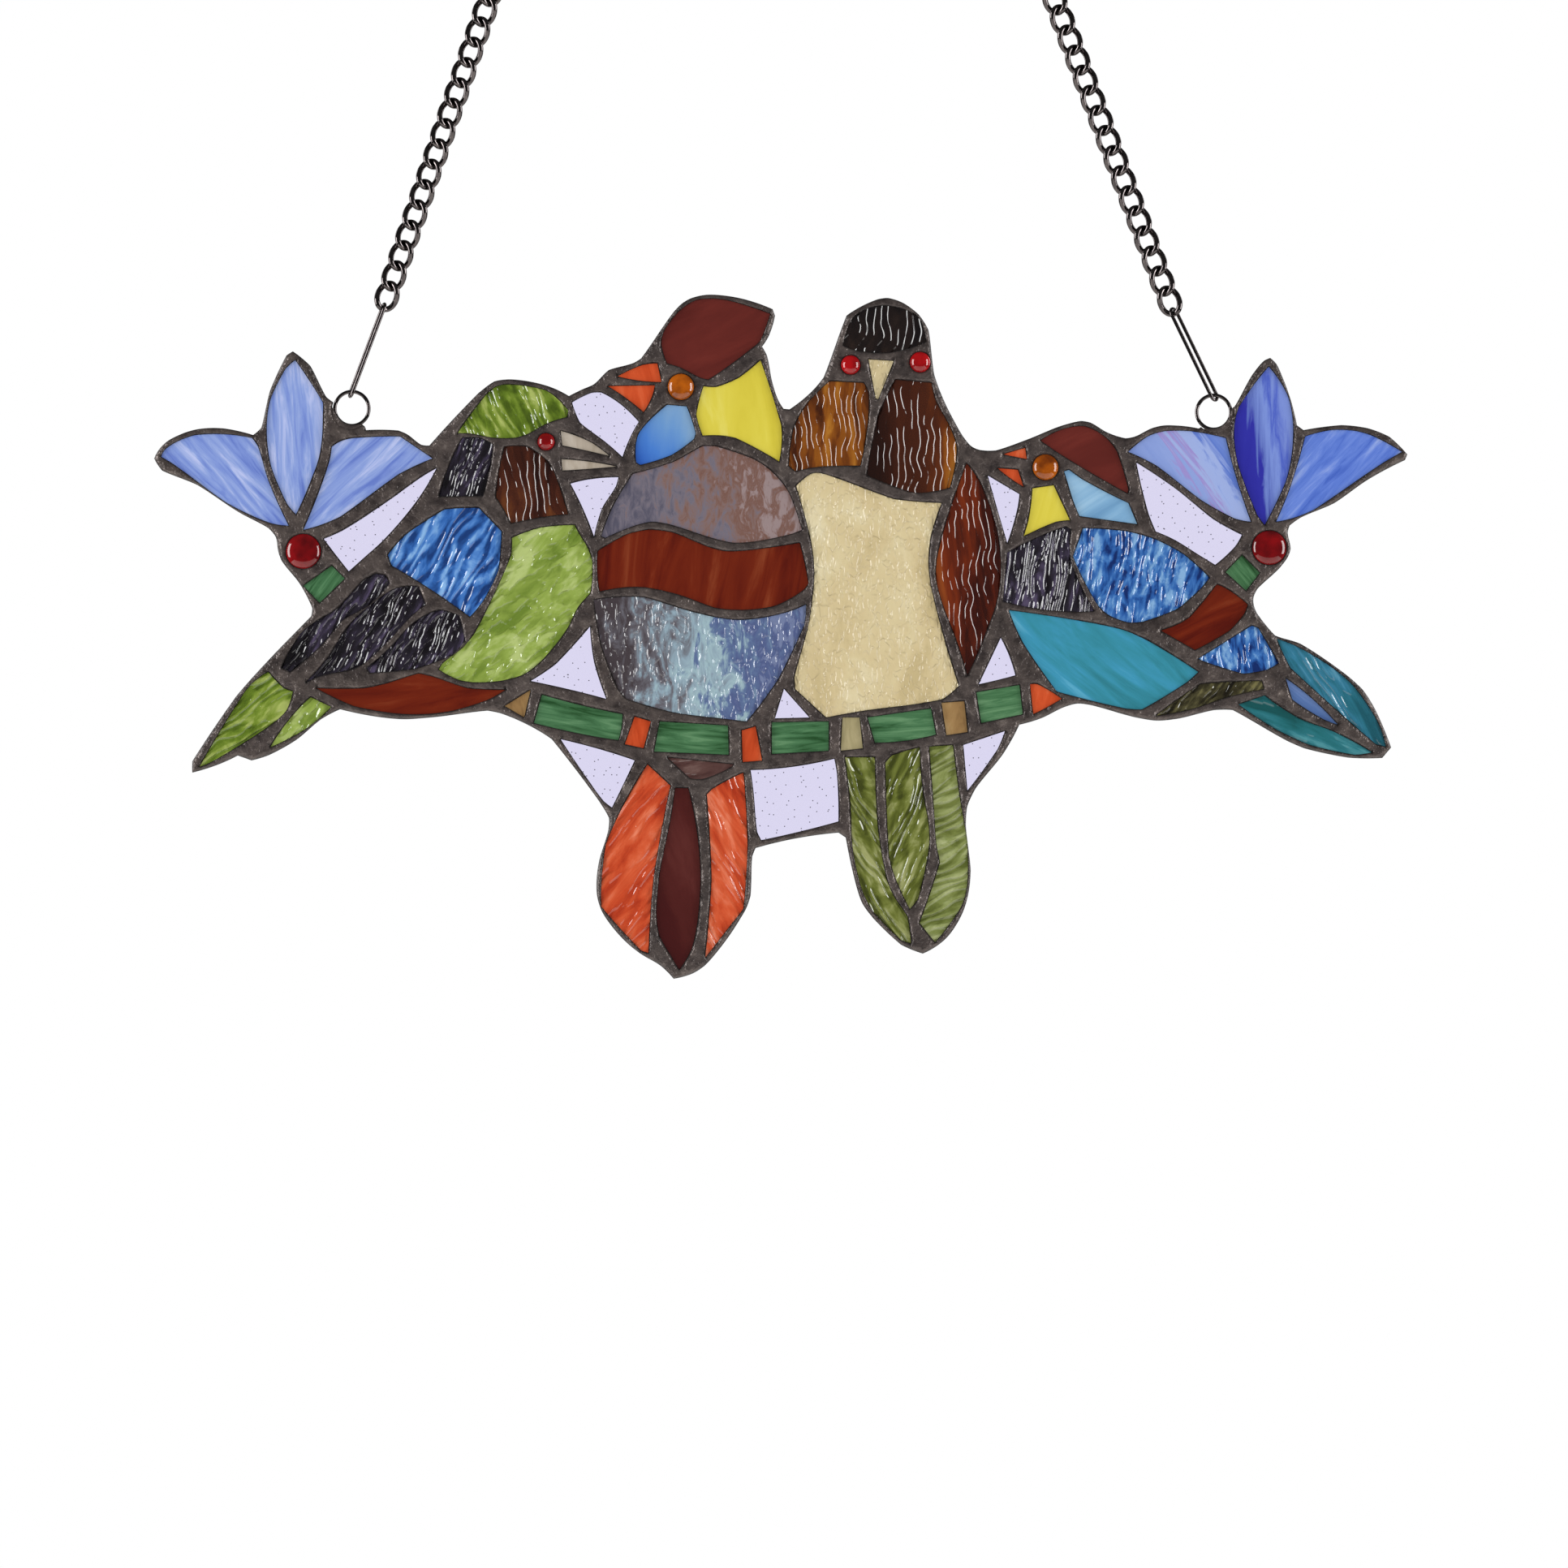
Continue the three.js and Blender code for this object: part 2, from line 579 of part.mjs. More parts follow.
// The soldered web between the tiles, with the small tiles and the gems in it.
function leadwork() {
  let solid = solidOf(plate(outline(leadEdge), LEADWORK_THICKNESS));
  for (const item of tiles) {
    solid = solid.subtract(solidOf(plate(windowOf(item), 2 * LEADWORK_THICKNESS)));
    if (!item.fused) continue;
    const piece = item.radius
      ? domedGem(item.centre, item.radius * PATTERN_STEP + GLASS_BITE)
      : plate(inset(windowOf(item), -GLASS_BITE), GLASS_THICKNESS);
    solid = solid.add(solidOf(piece));
  }
  solid = solid.subtract(ringSeat(LEFT_RING)).subtract(ringSeat(RIGHT_RING));
  return named('leadwork', geometryOf(solid), SOLDER, 0.45, 0.8);
}

function glassTile(item) {
  const geometry = plate(inset(windowOf(item), GLASS_GAP), GLASS_THICKNESS);
  return named(item.name, geometry, COLOURS[item.glass], 0.1, 0);
}

// A ring of round wire that lies in the panel's plane.
function solderedRing(name, centre) {
  const geometry = new THREE.TorusGeometry(RING_RADIUS, RING_WIRE / 2, WIRE_SIDES, RING_STEPS);
  geometry.rotateX(Math.PI / 2);
  const mesh = named(name, geometry, BLACK_NICKEL, 0.3, 1);
  mesh.position.copy(inPlane(centre));
  return mesh;
}

// The path of a long loop of wire in the YZ plane: two straight legs and two round ends.
function longLoop(length) {
  const half = HOOK_WIDTH / 2;
  const points = [];
  for (const [end, start] of [[length / 2, 0], [-length / 2, Math.PI]]) {
    for (let i = 0; i <= HOOK_END_STEPS; i += 1) {
      const angle = start + (Math.PI * i) / HOOK_END_STEPS;
      points.push(new THREE.Vector3(0, half * Math.cos(angle), end + half * Math.sin(angle)));
    }
  }
  return points;
}

// The hook between a soldered ring and the last link of its chain.
function hook(name, ring, chain, angle) {
  const low = inPlane(ring).add(new THREE.Vector3(0, 0, RING_RADIUS));
  const down = new THREE.Vector3(-Math.sin(chain.lean), 0, -Math.cos(chain.lean));
  const high = inPlane(chain.lastLink).addScaledVector(down, linkHalfLength);
  const geometry = closedWire(longLoop(low.distanceTo(high)), HOOK_WIRE / 2, WIRE_SIDES);
  const mesh = named(name, geometry, BLACK_NICKEL, 0.3, 1);
  const lean = new THREE.Quaternion().setFromUnitVectors(
    new THREE.Vector3(0, 0, 1),
    new THREE.Vector3().subVectors(high, low).normalize());
  const turn = new THREE.Quaternion().setFromAxisAngle(new THREE.Vector3(0, 0, 1), angle);
  mesh.quaternion.copy(lean.multiply(turn));
  mesh.position.copy(low.add(high).multiplyScalar(0.5));
  return mesh;
}

// A closed wire through a loop of points: a ring of corners at each point, across its direction.
function closedWire(points, radius, sides) {
  const count = points.length;
  const positions = [];
  const index = [];
  const centre = points.reduce((sum, point) => sum.add(point), new THREE.Vector3()).divideScalar(count);
  points.forEach((point, i) => {
    const before = points[(i + count - 1) % count];
    const after = points[(i + 1) % count];
    const arriving = new THREE.Vector3().subVectors(point, before).normalize();
    const leaving = new THREE.Vector3().subVectors(after, point).normalize();
    const along = arriving.clone().add(leaving).normalize();
    const outward = new THREE.Vector3().subVectors(point, centre);
    outward.addScaledVector(along, -outward.dot(along)).normalize();
    const across = new THREE.Vector3().crossVectors(along, outward);
    const mitre = 1 / along.dot(leaving);
    for (let k = 0; k < sides; k += 1) {
      const angle = (2 * Math.PI * k) / sides;
      const corner = point.clone()
        .addScaledVector(outward, mitre * radius * Math.cos(angle))
        .addScaledVector(across, radius * Math.sin(angle));
      positions.push(corner.x, corner.y, corner.z);
      const nextPoint = ((i + 1) % count) * sides;
      const nextSide = (k + 1) % sides;
      index.push(i * sides + k, i * sides + nextSide, nextPoint + k);
      index.push(nextPoint + k, i * sides + nextSide, nextPoint + nextSide);
    }
  });
  const geometry = new THREE.BufferGeometry();
  geometry.setAttribute('position', new THREE.Float32BufferAttribute(positions, 3));
  geometry.setIndex(index);
  return geometry;
}

// One link of the chain: a six-sided oval with straight ends, twisted out of its plane.
function link(twist) {
  const points = Array.from({ length: LINK_STEPS }, (_, i) => {
    const angle = (2 * Math.PI * i) / LINK_STEPS;
    return new THREE.Vector3(
      (LINK_WIDTH / 2) * Math.cos(angle),
      twist * Math.sin(2 * angle),
      (linkHalfLength * Math.sin(angle)) / Math.sin((2 * Math.PI) / LINK_STEPS));
  });
  return closedWire(points, LINK_WIRE / 2, LINK_SIDES);
}

// A chain of twisted links, each bearing on the next, up from the hook.
function chain(name, line, twist) {
  let solid;
  for (let i = 0; i < LINKS; i += 1) {
    const geometry = link(twist);
    geometry.translate(0, 0, i * LINK_PITCH);
    const next = solidOf(geometry);
    solid = solid ? solid.add(next) : next;
  }
  const mesh = named(name, geometryOf(solid), BLACK_NICKEL, 0.3, 1);
  mesh.rotation.y = line.lean;
  mesh.position.copy(inPlane(line.lastLink));
  return mesh;
}

// The plain ring at the top of a chain, square to the last link.
function topRing(name, line) {
  const geometry = new THREE.TorusGeometry(TOP_RING_RADIUS, TOP_RING_WIRE / 2, WIRE_SIDES, RING_STEPS);
  geometry.rotateY(Math.PI / 2);
  const mesh = named(name, geometry, BLACK_NICKEL, 0.3, 1);
  mesh.rotation.y = line.lean;
  mesh.position.copy(inPlane(line.ring));
  return mesh;
}

leftBlossom();
leftBird();
secondBird();
thirdBird();
rightBird();
rightBlossom();
branch();
clearPanes();
outerEdge();

const suncatcher = new THREE.Group();
suncatcher.add(leadwork());
tiles.filter((item) => !item.fused).forEach((item) => suncatcher.add(glassTile(item)));
suncatcher.add(solderedRing('left_soldered_ring', LEFT_RING));
suncatcher.add(solderedRing('right_soldered_ring', RIGHT_RING));
suncatcher.add(hook('left_hook', LEFT_RING, leftChain, HOOK_TURN));
suncatcher.add(hook('right_hook', RIGHT_RING, rightChain, -HOOK_TURN));
suncatcher.add(chain('left_chain', leftChain, -LINK_TWIST));
suncatcher.add(chain('right_chain', rightChain, LINK_TWIST));
suncatcher.add(topRing('left_top_ring', leftChain));
suncatcher.add(topRing('right_top_ring', rightChain));

export default suncatcher;
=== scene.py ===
import json
import math
from collections import namedtuple

import bpy
import numpy as np
from mathutils.geometry import delaunay_2d_cdt
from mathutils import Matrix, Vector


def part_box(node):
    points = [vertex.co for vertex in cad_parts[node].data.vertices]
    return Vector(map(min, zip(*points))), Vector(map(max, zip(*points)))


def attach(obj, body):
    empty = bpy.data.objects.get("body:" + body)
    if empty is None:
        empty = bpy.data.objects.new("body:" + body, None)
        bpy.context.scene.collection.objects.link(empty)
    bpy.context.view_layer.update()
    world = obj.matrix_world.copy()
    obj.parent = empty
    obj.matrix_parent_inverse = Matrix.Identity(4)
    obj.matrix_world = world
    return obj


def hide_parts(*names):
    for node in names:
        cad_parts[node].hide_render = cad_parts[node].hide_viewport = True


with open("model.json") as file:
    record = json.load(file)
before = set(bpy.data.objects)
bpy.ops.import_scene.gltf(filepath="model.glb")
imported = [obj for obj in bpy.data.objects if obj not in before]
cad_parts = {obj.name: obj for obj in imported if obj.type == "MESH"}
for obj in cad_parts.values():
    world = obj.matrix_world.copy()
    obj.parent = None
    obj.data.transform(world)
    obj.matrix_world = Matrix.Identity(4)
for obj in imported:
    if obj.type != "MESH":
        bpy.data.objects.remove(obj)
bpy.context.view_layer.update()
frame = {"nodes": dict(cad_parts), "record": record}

# Sizes in metres. X runs to the right, Z up, and the front of the panel faces -Y.
MILLIMETRE = 0.001
PIXEL = MILLIMETRE / 3
ORIGIN_PIXEL = (951.78, -56.64)
IMAGE_PIXELS = 1932
CAMERA_DISTANCE = 3.2
SENSOR = 0.036

# Outlines: the step between their points, the turn from which a corner is sharp, how far a smoothed outline
# may stray from its facets, the width from which a triangle counts, the reach of the search for a near
# outline, how many points it takes at a time, and the side of the lattice of noise.
EDGE_STEP = 0.0013
CORNER_TURN = math.radians(36)
STRAY = 0.00025
THIN = 1e-7
FAR = 0.009
STRIP = 300
LATTICE = 61

# The soldered web: its beads rise from the edge of the glass, and its border from a narrow flat land. A seam
# has rows of points at shares of its depth, and a pool wider than a seam has a lattice. Lumps are noise: how
# high, how far apart, and a seed.
LEAD_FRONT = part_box("leadwork")[1].y
LEAD_EDGE_HALF = 0.00165
LEAD_HALF = 0.00245
LEAD_LAND = 0.0004
BEAD_RISE = 0.0008
BEAD_RADIUS = 0.0019
BEAD_WIDTH = 0.0026
BORDER_WIDTH = 0.0022
LUMPS = ((0.00015, 0.0034, 11), (0.0001, 0.0017, 12))
BORDER_LUMPS = 0.6
BACK_SHARE = 0.96
# The width over which the solder beside a seam fades out of its painted shade, black where it meets the
# glass.
SEAM_SHADE = 0.0006
WIDEST_SEAM = 0.02
ROW_SHARES = (0.3, 0.62, 0.96)
ROW_CLEARANCE = 0.85
POOL_STEP = 0.0015
POOL_CLEARANCE = 1.2 * BEAD_WIDTH

# Glass: half a sheet, a tile's reach under the lead, the angle from which its rim is sharp, the drop of its
# skin, how much of a ripple's depth is in the mesh, its slow bends and its pits, and the mesh's step and the
# clearance from its rim.
GLASS_HALF = 0.0015
GLASS_UNDER_LEAD = 0.0003
TILE_EDGE = math.radians(50)
SKIN_DROP = 0.00012
RELIEF_SHARE = 0.3
RELIEF_DEPTH = 0.5
BEND_SIZE = 0.011
BEND_TURN = 3.2
PIT_SIZE = 0.7
STEP_SHARE = 0.28
STEP_RANGE = (0.0008, 0.003)
RIM_CLEARANCE = 0.6

# Gems: the dome above the glass, the girdle and the back in shares of the radius and distances to the front,
# the reach under the solder, and the radius in pixels from which a gem is a blossom's.
GEM_DOME = 0.0031
GEM_GIRDLE = ((1, 0.0002), (0.93, -0.0014), (0.4, -0.0015))
GEM_ROWS = 14
GEM_SIDES = 48
GEM_SEAT = 0.0001
LARGE_GEM = 15

# Wire: radii of each wire, and the middle lines of rings, hooks and links.
RING_WIRE = 0.00075
RING_RADIUS = 0.007
HOOK_WIRE = 0.00072
HOOK_HALF_WIDTH = 0.0021
LINK_WIRE = 0.00119
LINK_HALF_WIDTH = 0.0039
LINK_HALF_LENGTH = 0.0055
LINK_PITCH = 0.00883
LINK_TWIST = 0.0015
LINKS = 16
TOP_RING_WIRE = 0.0009
TOP_RING_RADIUS = 0.00777
WIRE_SIDES = 14
RING_STEPS = 72
LINK_STEPS = 48
HOOK_STEPS = 150

# The solder beside a ring: how far out it lies, its girth and swell, and its depth beside its width.
BED_OUT = 0.001
BED_GIRTH = 0.0006
BED_SWELL = 0.0009
BED_DEPTH = 1.3
BED_STEPS = 40
BED_SIDES = 18

# Finishes: where four tones lie in the streaks, how much painted light and shade a ripple gives the tone
# (crests lighter, hollows darker), the share of dimples from which ripples are soft, the scale of one wave to
# a unit, and the refraction of glossy and satin glass.
TONE_PLACES = (0.34, 0.45, 0.55, 0.68)
RIPPLE_PAINTED_SHADING = 0.35
FEW_DIMPLES = 0.2
WAVE_SCALE = 0.314
GLOSSY = 0.1
GLOSSY_IOR = 1.8
SATIN_IOR = 1.52

# The small tiles and gems that share a solid with the leadwork: a tile's slot and a pixel inside it, and a
# gem's slot, middle and radius in pixels.
SMALL_TILES = {
    "left_blossom_stem": ("branch_green", (400, 720)),
    "right_blossom_stem": ("branch_green", (1531, 706)),
    "left_bird_beak_upper": ("beige", (706, 543)),
    "left_bird_beak_lower": ("beige", (712, 572)),
    "left_bird_tail_small": ("sage", (375, 885)),
    "second_bird_beak_upper": ("orange", (795, 460)),
    "second_bird_beak_lower": ("orange", (785, 485)),
    "second_bird_tail_root": ("maroon", (862, 945)),
    "third_bird_beak": ("beige", (1084, 455)),
    "right_bird_beak_upper": ("orange", (1255, 559)),
    "right_bird_beak_lower": ("orange", (1247, 584)),
    "right_bird_flank": ("slate", (1525, 805)),
    "right_bird_undertail": ("bronze", (1490, 857)),
    "right_bird_tail_middle": ("slate", (1605, 862)),
    "branch_toe_left": ("tan", (643, 866)),
    "branch_section_1": ("branch_green", (712, 882)),
    "branch_foot_1": ("orange", (788, 903)),
    "branch_section_2": ("branch_green", (855, 911)),
    "branch_foot_2": ("orange", (928, 917)),
    "branch_section_3": ("branch_green", (985, 908)),
    "branch_foot_3": ("tan", (1048, 903)),
    "branch_section_4": ("branch_green", (1110, 895)),
    "branch_foot_4": ("tan", (1176, 885)),
    "branch_section_5": ("branch_green", (1232, 867)),
    "branch_toe_right": ("orange", (1285, 858)),
    "clear_pane_notch_left": ("clear", (973, 872)),
    "clear_pane_notch_right": ("clear", (1230, 820)),
}
GEMS = {
    "left_blossom_center": ("red_gem", (374, 679.5), 21.3),
    "right_blossom_center": ("red_gem", (1563.6, 675), 21),
    "left_bird_eye": ("red_gem", (673, 544.5), 10.5),
    "second_bird_eye": ("amber_gem", (839, 477), 16),
    "third_bird_eye_left": ("red_gem", (1048, 450), 11.7),
    "third_bird_eye_right": ("red_gem", (1133.6, 446.6), 12.5),
    "right_bird_eye": ("amber_gem", (1288, 576), 15.7),
}


def place(pixel):
    """A pixel of the photograph as X and Z in the panel's plane."""
    return np.array([pixel[0] - ORIGIN_PIXEL[0], ORIGIN_PIXEL[1] - pixel[1]]) * PIXEL


# Meshes

def make_mesh(name, points, faces, sharp=None):
    """A smooth mesh object from an array of points and an array or a list of faces. Edges that turn more than
    the angle sharp stay crisp."""
    mesh = bpy.data.meshes.new(name)
    mesh.from_pydata(np.asarray(points).tolist(), [], [list(face) for face in faces])
    mesh.validate()
    mesh.polygons.foreach_set("use_smooth", np.full(len(mesh.polygons), True))
    if sharp:
        mesh.set_sharp_from_angle(angle=sharp)
    piece = bpy.data.objects.new(name, mesh)
    bpy.context.scene.collection.objects.link(piece)
    return piece


def finish_piece(piece, material, slot, *nodes):
    """Gives a piece its finish and its body, and hides the solids that it stands for."""
    piece.data.materials.append(material)
    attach(piece, "root")
    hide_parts(*nodes)
    return piece


def value_noise(x, z, scale, seed):
    """Smooth noise from -1 to 1: random values on a square lattice, blended by smoothstep both ways."""
    table = np.random.default_rng(seed).uniform(-1, 1, (LATTICE, LATTICE))
    column, row = np.floor(x / scale), np.floor(z / scale)
    across, up = x / scale - column, z / scale - row
    column, row = column.astype(int), row.astype(int)
    across, up = across * across * (3 - 2 * across), up * up * (3 - 2 * up)

    def corner(i, j):
        return table[(column + i) % LATTICE, (row + j) % LATTICE]

    low = corner(0, 0) * (1 - across) + corner(1, 0) * across
    high = corner(0, 1) * (1 - across) + corner(1, 1) * across
    return low * (1 - up) + high * up


# Outlines, read from the front face of the leadwork

def front_loops():
    """The closed outlines of the leadwork's front face: edges of its front triangles that have no twin."""
    mesh = frame["nodes"]["leadwork"].data
    mesh.calc_loop_triangles()
    points = np.zeros(3 * len(mesh.vertices))
    mesh.vertices.foreach_get("co", points)
    points = points.reshape(-1, 3)
    corners = np.zeros(3 * len(mesh.loop_triangles), int)
    mesh.loop_triangles.foreach_get("vertices", corners)
    places, merged = np.unique(np.round(points, 6), axis=0, return_inverse=True)
    corners = merged.reshape(-1)[corners].reshape(-1, 3)
    front = np.all(np.abs(places[corners][:, :, 1] + LEAD_FRONT) < 1e-5, axis=1)
    corners = corners[front]
    starts, ends = corners.reshape(-1), np.roll(corners, -1, axis=1).reshape(-1)
    edges = set(zip(starts.tolist(), ends.tolist()))
    onward = {a: b for a, b in edges if (b, a) not in edges}
    loops = []
    while onward:
        start, step = onward.popitem()
        loop = [start]
        while step != start:
            loop.append(step)
            step = onward.pop(step)
        loops.append(places[loop][:, [0, 2]])
    return loops


def signed_area(loop):
    """The area of a loop, above 0 where it runs counter-clockwise."""
    onward = np.roll(loop, -1, axis=0)
    return 0.5 * np.sum(loop[:, 0] * onward[:, 1] - onward[:, 0] * loop[:, 1])


def inside(points, loop):
    """Whether each point lies inside a loop: the number of sides that a ray to the right crosses is odd."""
    onward = np.roll(loop, -1, axis=0)
    x, z = points[:, :1], points[:, 1:]
    spans = (loop[:, 1] > z) != (onward[:, 1] > z)
    rise = np.where(onward[:, 1] == loop[:, 1], 1e-12, onward[:, 1] - loop[:, 1])
    reach = loop[:, 0] + (z - loop[:, 1]) / rise * (onward[:, 0] - loop[:, 0])
    return np.sum(spans & (x < reach), axis=1) % 2 == 1


def steadied(slope, heading, limit):
    """A slope whose part across the heading is held within a limit."""
    normal = np.stack([-heading[:, 1], heading[:, 0]], axis=1)
    along = np.sum(slope * heading, axis=1)[:, None]
    across = np.sum(slope * normal, axis=1)[:, None]
    return along * heading + np.clip(across, -limit, limit) * normal


def smooth_outline(loop, step):
    """A faceted loop made round again: a cubic between each two points, whose slope at a point is a blend of
    the two facets there, with separate slopes on the two sides of a sharp corner. A cubic strays from its
    facet by at most a quarter of its length times its end slopes, so these are held within a limit."""
    if signed_area(loop) < 0:
        loop = loop[::-1]
    chord = np.roll(loop, -1, axis=0) - loop
    length = np.linalg.norm(chord, axis=1)
    heading = chord / length[:, None]
    arriving, onward = np.roll(heading, 1, axis=0), heading
    turn = np.arccos(np.clip(np.sum(arriving * onward, axis=1), -1, 1))
    arriving_length = np.roll(length, 1)
    blend = (arriving * length[:, None] + onward * arriving_length[:, None])
    slope = blend / np.linalg.norm(blend, axis=1)[:, None]
    sharp = (turn > CORNER_TURN)[:, None]
    following = np.roll(slope, -1, axis=0)
    start = np.where(sharp, 2 * heading - following, slope)
    start /= np.linalg.norm(start, axis=1)[:, None]
    end_sharp = np.roll(sharp, -1, axis=0)
    end = np.where(end_sharp, 2 * heading - slope, following)
    end = np.where(end_sharp & sharp, heading, end)
    start = np.where(end_sharp & sharp, heading, start)
    end /= np.linalg.norm(end, axis=1)[:, None]
    limit = (4 * STRAY / length)[:, None]
    start, end = steadied(start, heading, limit), steadied(end, heading, limit)
    counts = np.maximum(np.ceil(length / step).astype(int), 1)
    side = np.repeat(np.arange(len(loop)), counts)
    first = np.repeat(np.cumsum(counts) - counts, counts)
    t = ((np.arange(len(side)) - first) / counts[side])[:, None]
    a, b = loop[side], np.roll(loop, -1, axis=0)[side]
    reach = length[side][:, None]
    return (
        (2 * t**3 - 3 * t**2 + 1) * a + (t**3 - 2 * t**2 + t) * reach * start[side]
        + (3 * t**2 - 2 * t**3) * b + (t**3 - t**2) * reach * end[side]
    )


def outward(loop):
    """The unit normal at each point of a counter-clockwise loop, square to the chord past it."""
    chord = np.roll(loop, -1, axis=0) - np.roll(loop, 1, axis=0)
    chord /= np.linalg.norm(chord, axis=1)[:, None]
    return np.stack([chord[:, 1], -chord[:, 0]], axis=1)


def seam_depth(points, normals, others):
    """How far the seam's middle lies from each point along its normal: the radius of the largest circle that
    touches the point and holds no other outline point. Each other point allows a radius of its distance
    squared over twice its distance along the normal."""
    depth = np.full(len(points), WIDEST_SEAM)
    for first in range(0, len(points), STRIP):
        near = slice(first, first + STRIP)
        offset = others[None, :, :] - points[near][:, None, :]
        ahead = np.sum(offset * normals[near][:, None, :], axis=2)
        square = np.sum(offset**2, axis=2)
        touching = (ahead > 1e-6) & (square > 1e-10)
        radius = np.where(touching, square / (2 * np.maximum(ahead, 1e-9)), WIDEST_SEAM)
        depth[near] = np.minimum(depth[near], radius.min(axis=1))
    return depth


def triangles_of(points, loops_count, keep):
    """The triangles between points that hold the outlines as edges, and whose middles pass the keep test.
    Those of no width, along a straight stretch of an outline, are left out: width is twice the area over the
    longest side."""
    edges = []
    first = 0
    for count in loops_count:
        ring = np.arange(first, first + count)
        edges += np.stack([ring, np.roll(ring, -1)], axis=1).tolist()
        first += count
    places, _, faces, *_ = delaunay_2d_cdt(points.tolist(), edges, [], 0, 1e-7, False)
    places = np.array([tuple(place_) for place_ in places])
    faces = np.array(faces)
    a, b, c = places[faces[:, 0]], places[faces[:, 1]], places[faces[:, 2]]
    doubled = (b - a)[:, 0] * (c - a)[:, 1] - (b - a)[:, 1] * (c - a)[:, 0]
    longest = np.linalg.norm([b - a, c - b, a - c], axis=2).max(axis=0)
    faces = faces[doubled > THIN * longest]
    return places, faces[keep(places[faces].mean(axis=1))]


def hex_grid(low, high, step):
    """Points of a triangular lattice between two corners."""
    rows = np.arange(low[1], high[1], step * 0.866)
    columns = np.arange(low[0], high[0], step)
    x, z = np.meshgrid(columns, rows)
    x = x + (np.arange(len(rows)) % 2)[:, None] * step / 2
    return np.stack([x.ravel(), z.ravel()], axis=1)


def clearance(points, border):
    """The distance from each point to the nearest of the border's points, or FAR where none is nearer. The
    points are taken in strips from left to right, each against the part of the border within reach."""
    order = np.argsort(points[:, 0])
    nearest = np.full(len(points), FAR)
    for first in range(0, len(points), STRIP):
        strip = order[first:first + STRIP]
        low, high = points[strip[0], 0] - FAR, points[strip[-1], 0] + FAR
        near = border[(border[:, 0] > low) & (border[:, 0] < high)]
        if len(near):
            square = ((points[strip][:, None, :] - near[None, :, :])**2).sum(axis=2)
            nearest[strip] = np.minimum(np.sqrt(square.min(axis=1)), FAR)
    return nearest


def two_sided(front_points, faces, rings, front_y, back_y):
    """A closed body: a front sheet, the same sheet reversed as the back, and walls along the rings."""
    count = len(front_points)
    front = np.stack([front_points[:, 0], front_y, front_points[:, 1]], axis=1)
    back = np.stack([front_points[:, 0], back_y, front_points[:, 1]], axis=1)
    walls = []
    for ring in rings:
        after = np.roll(ring, -1)
        walls.append(np.stack([after, ring, ring + count, after + count], axis=1))
    quads = np.concatenate(walls).tolist()
    return np.concatenate([front, back]), faces.tolist() + (faces[:, ::-1] + count).tolist() + quads


# The soldered web

def bead(distance, width):
    """A quarter round: height from 0 at the edge to 1 at the given width, then level."""
    return np.sqrt(1 - (1 - np.minimum(distance / width, 1))**2)


def leadwork_surface(edge, windows):
    """The web between the tiles: outline points, rows of points beside them at shares of the seam's depth,
    and a lattice over the wide pools. Height is a quarter round from each window and from the outer edge,
    plus lumps. The painted-shade mask is 0 at an outline, where the solder is painted black as shade, and 1
    from the shade's width on."""
    rings = [edge] + windows
    counts = [len(ring) for ring in rings]
    points = np.concatenate(rings)
    normals = np.concatenate([-outward(edge)] + [outward(window) for window in windows])
    depth = np.minimum(seam_depth(points, normals, points), BEAD_WIDTH)[:, None]
    rows = np.concatenate([points + normals * depth * share for share in ROW_SHARES])
    own = np.concatenate([depth[:, 0] * share for share in ROW_SHARES])
    rows = rows[clearance(rows, points) > ROW_CLEARANCE * own]
    lattice = hex_grid(points.min(axis=0), points.max(axis=0), POOL_STEP)
    lattice = lattice[inside(lattice, edge)]
    lattice = lattice[clearance(lattice, points) > POOL_CLEARANCE]

    def in_lead(middles):
        held = inside(middles, edge)
        for window in windows:
            low, high = window.min(axis=0), window.max(axis=0)
            near = np.all((middles > low) & (middles < high), axis=1)
            held[near] &= ~inside(middles[near], window)
        return held

    lattice = lattice[in_lead(lattice)]
    everything = np.concatenate([points, rows, lattice])
    places, faces = triangles_of(everything, counts, in_lead)
    to_edge = clearance(places, edge)
    to_window = clearance(places, np.concatenate(windows))
    to_edge[:counts[0]] = 0
    to_window[counts[0]:len(points)] = 0
    x, z = places[:, 0], places[:, 1]
    lumps = sum(high * value_noise(x, z, apart, seed) for high, apart, seed in LUMPS)
    over_glass = LEAD_EDGE_HALF + (BEAD_RISE + lumps) * bead(to_window, BEAD_RADIUS)
    border_rise = LEAD_HALF - LEAD_LAND + BORDER_LUMPS * lumps
    round_edge = LEAD_LAND + border_rise * bead(to_edge, BORDER_WIDTH)
    height = np.minimum(over_glass, round_edge)
    # Painted shade: this mask is 0 where the solder meets the glass or the edge, where it is painted black as
    # shade.
    painted_shade_mask = np.minimum(np.minimum(to_window / SEAM_SHADE, to_edge / SEAM_SHADE), 1)
    starts = np.cumsum(counts) - counts
    ring_index = [np.arange(start, start + count) for start, count in zip(starts, counts)]
    return places, faces, ring_index, height, painted_shade_mask
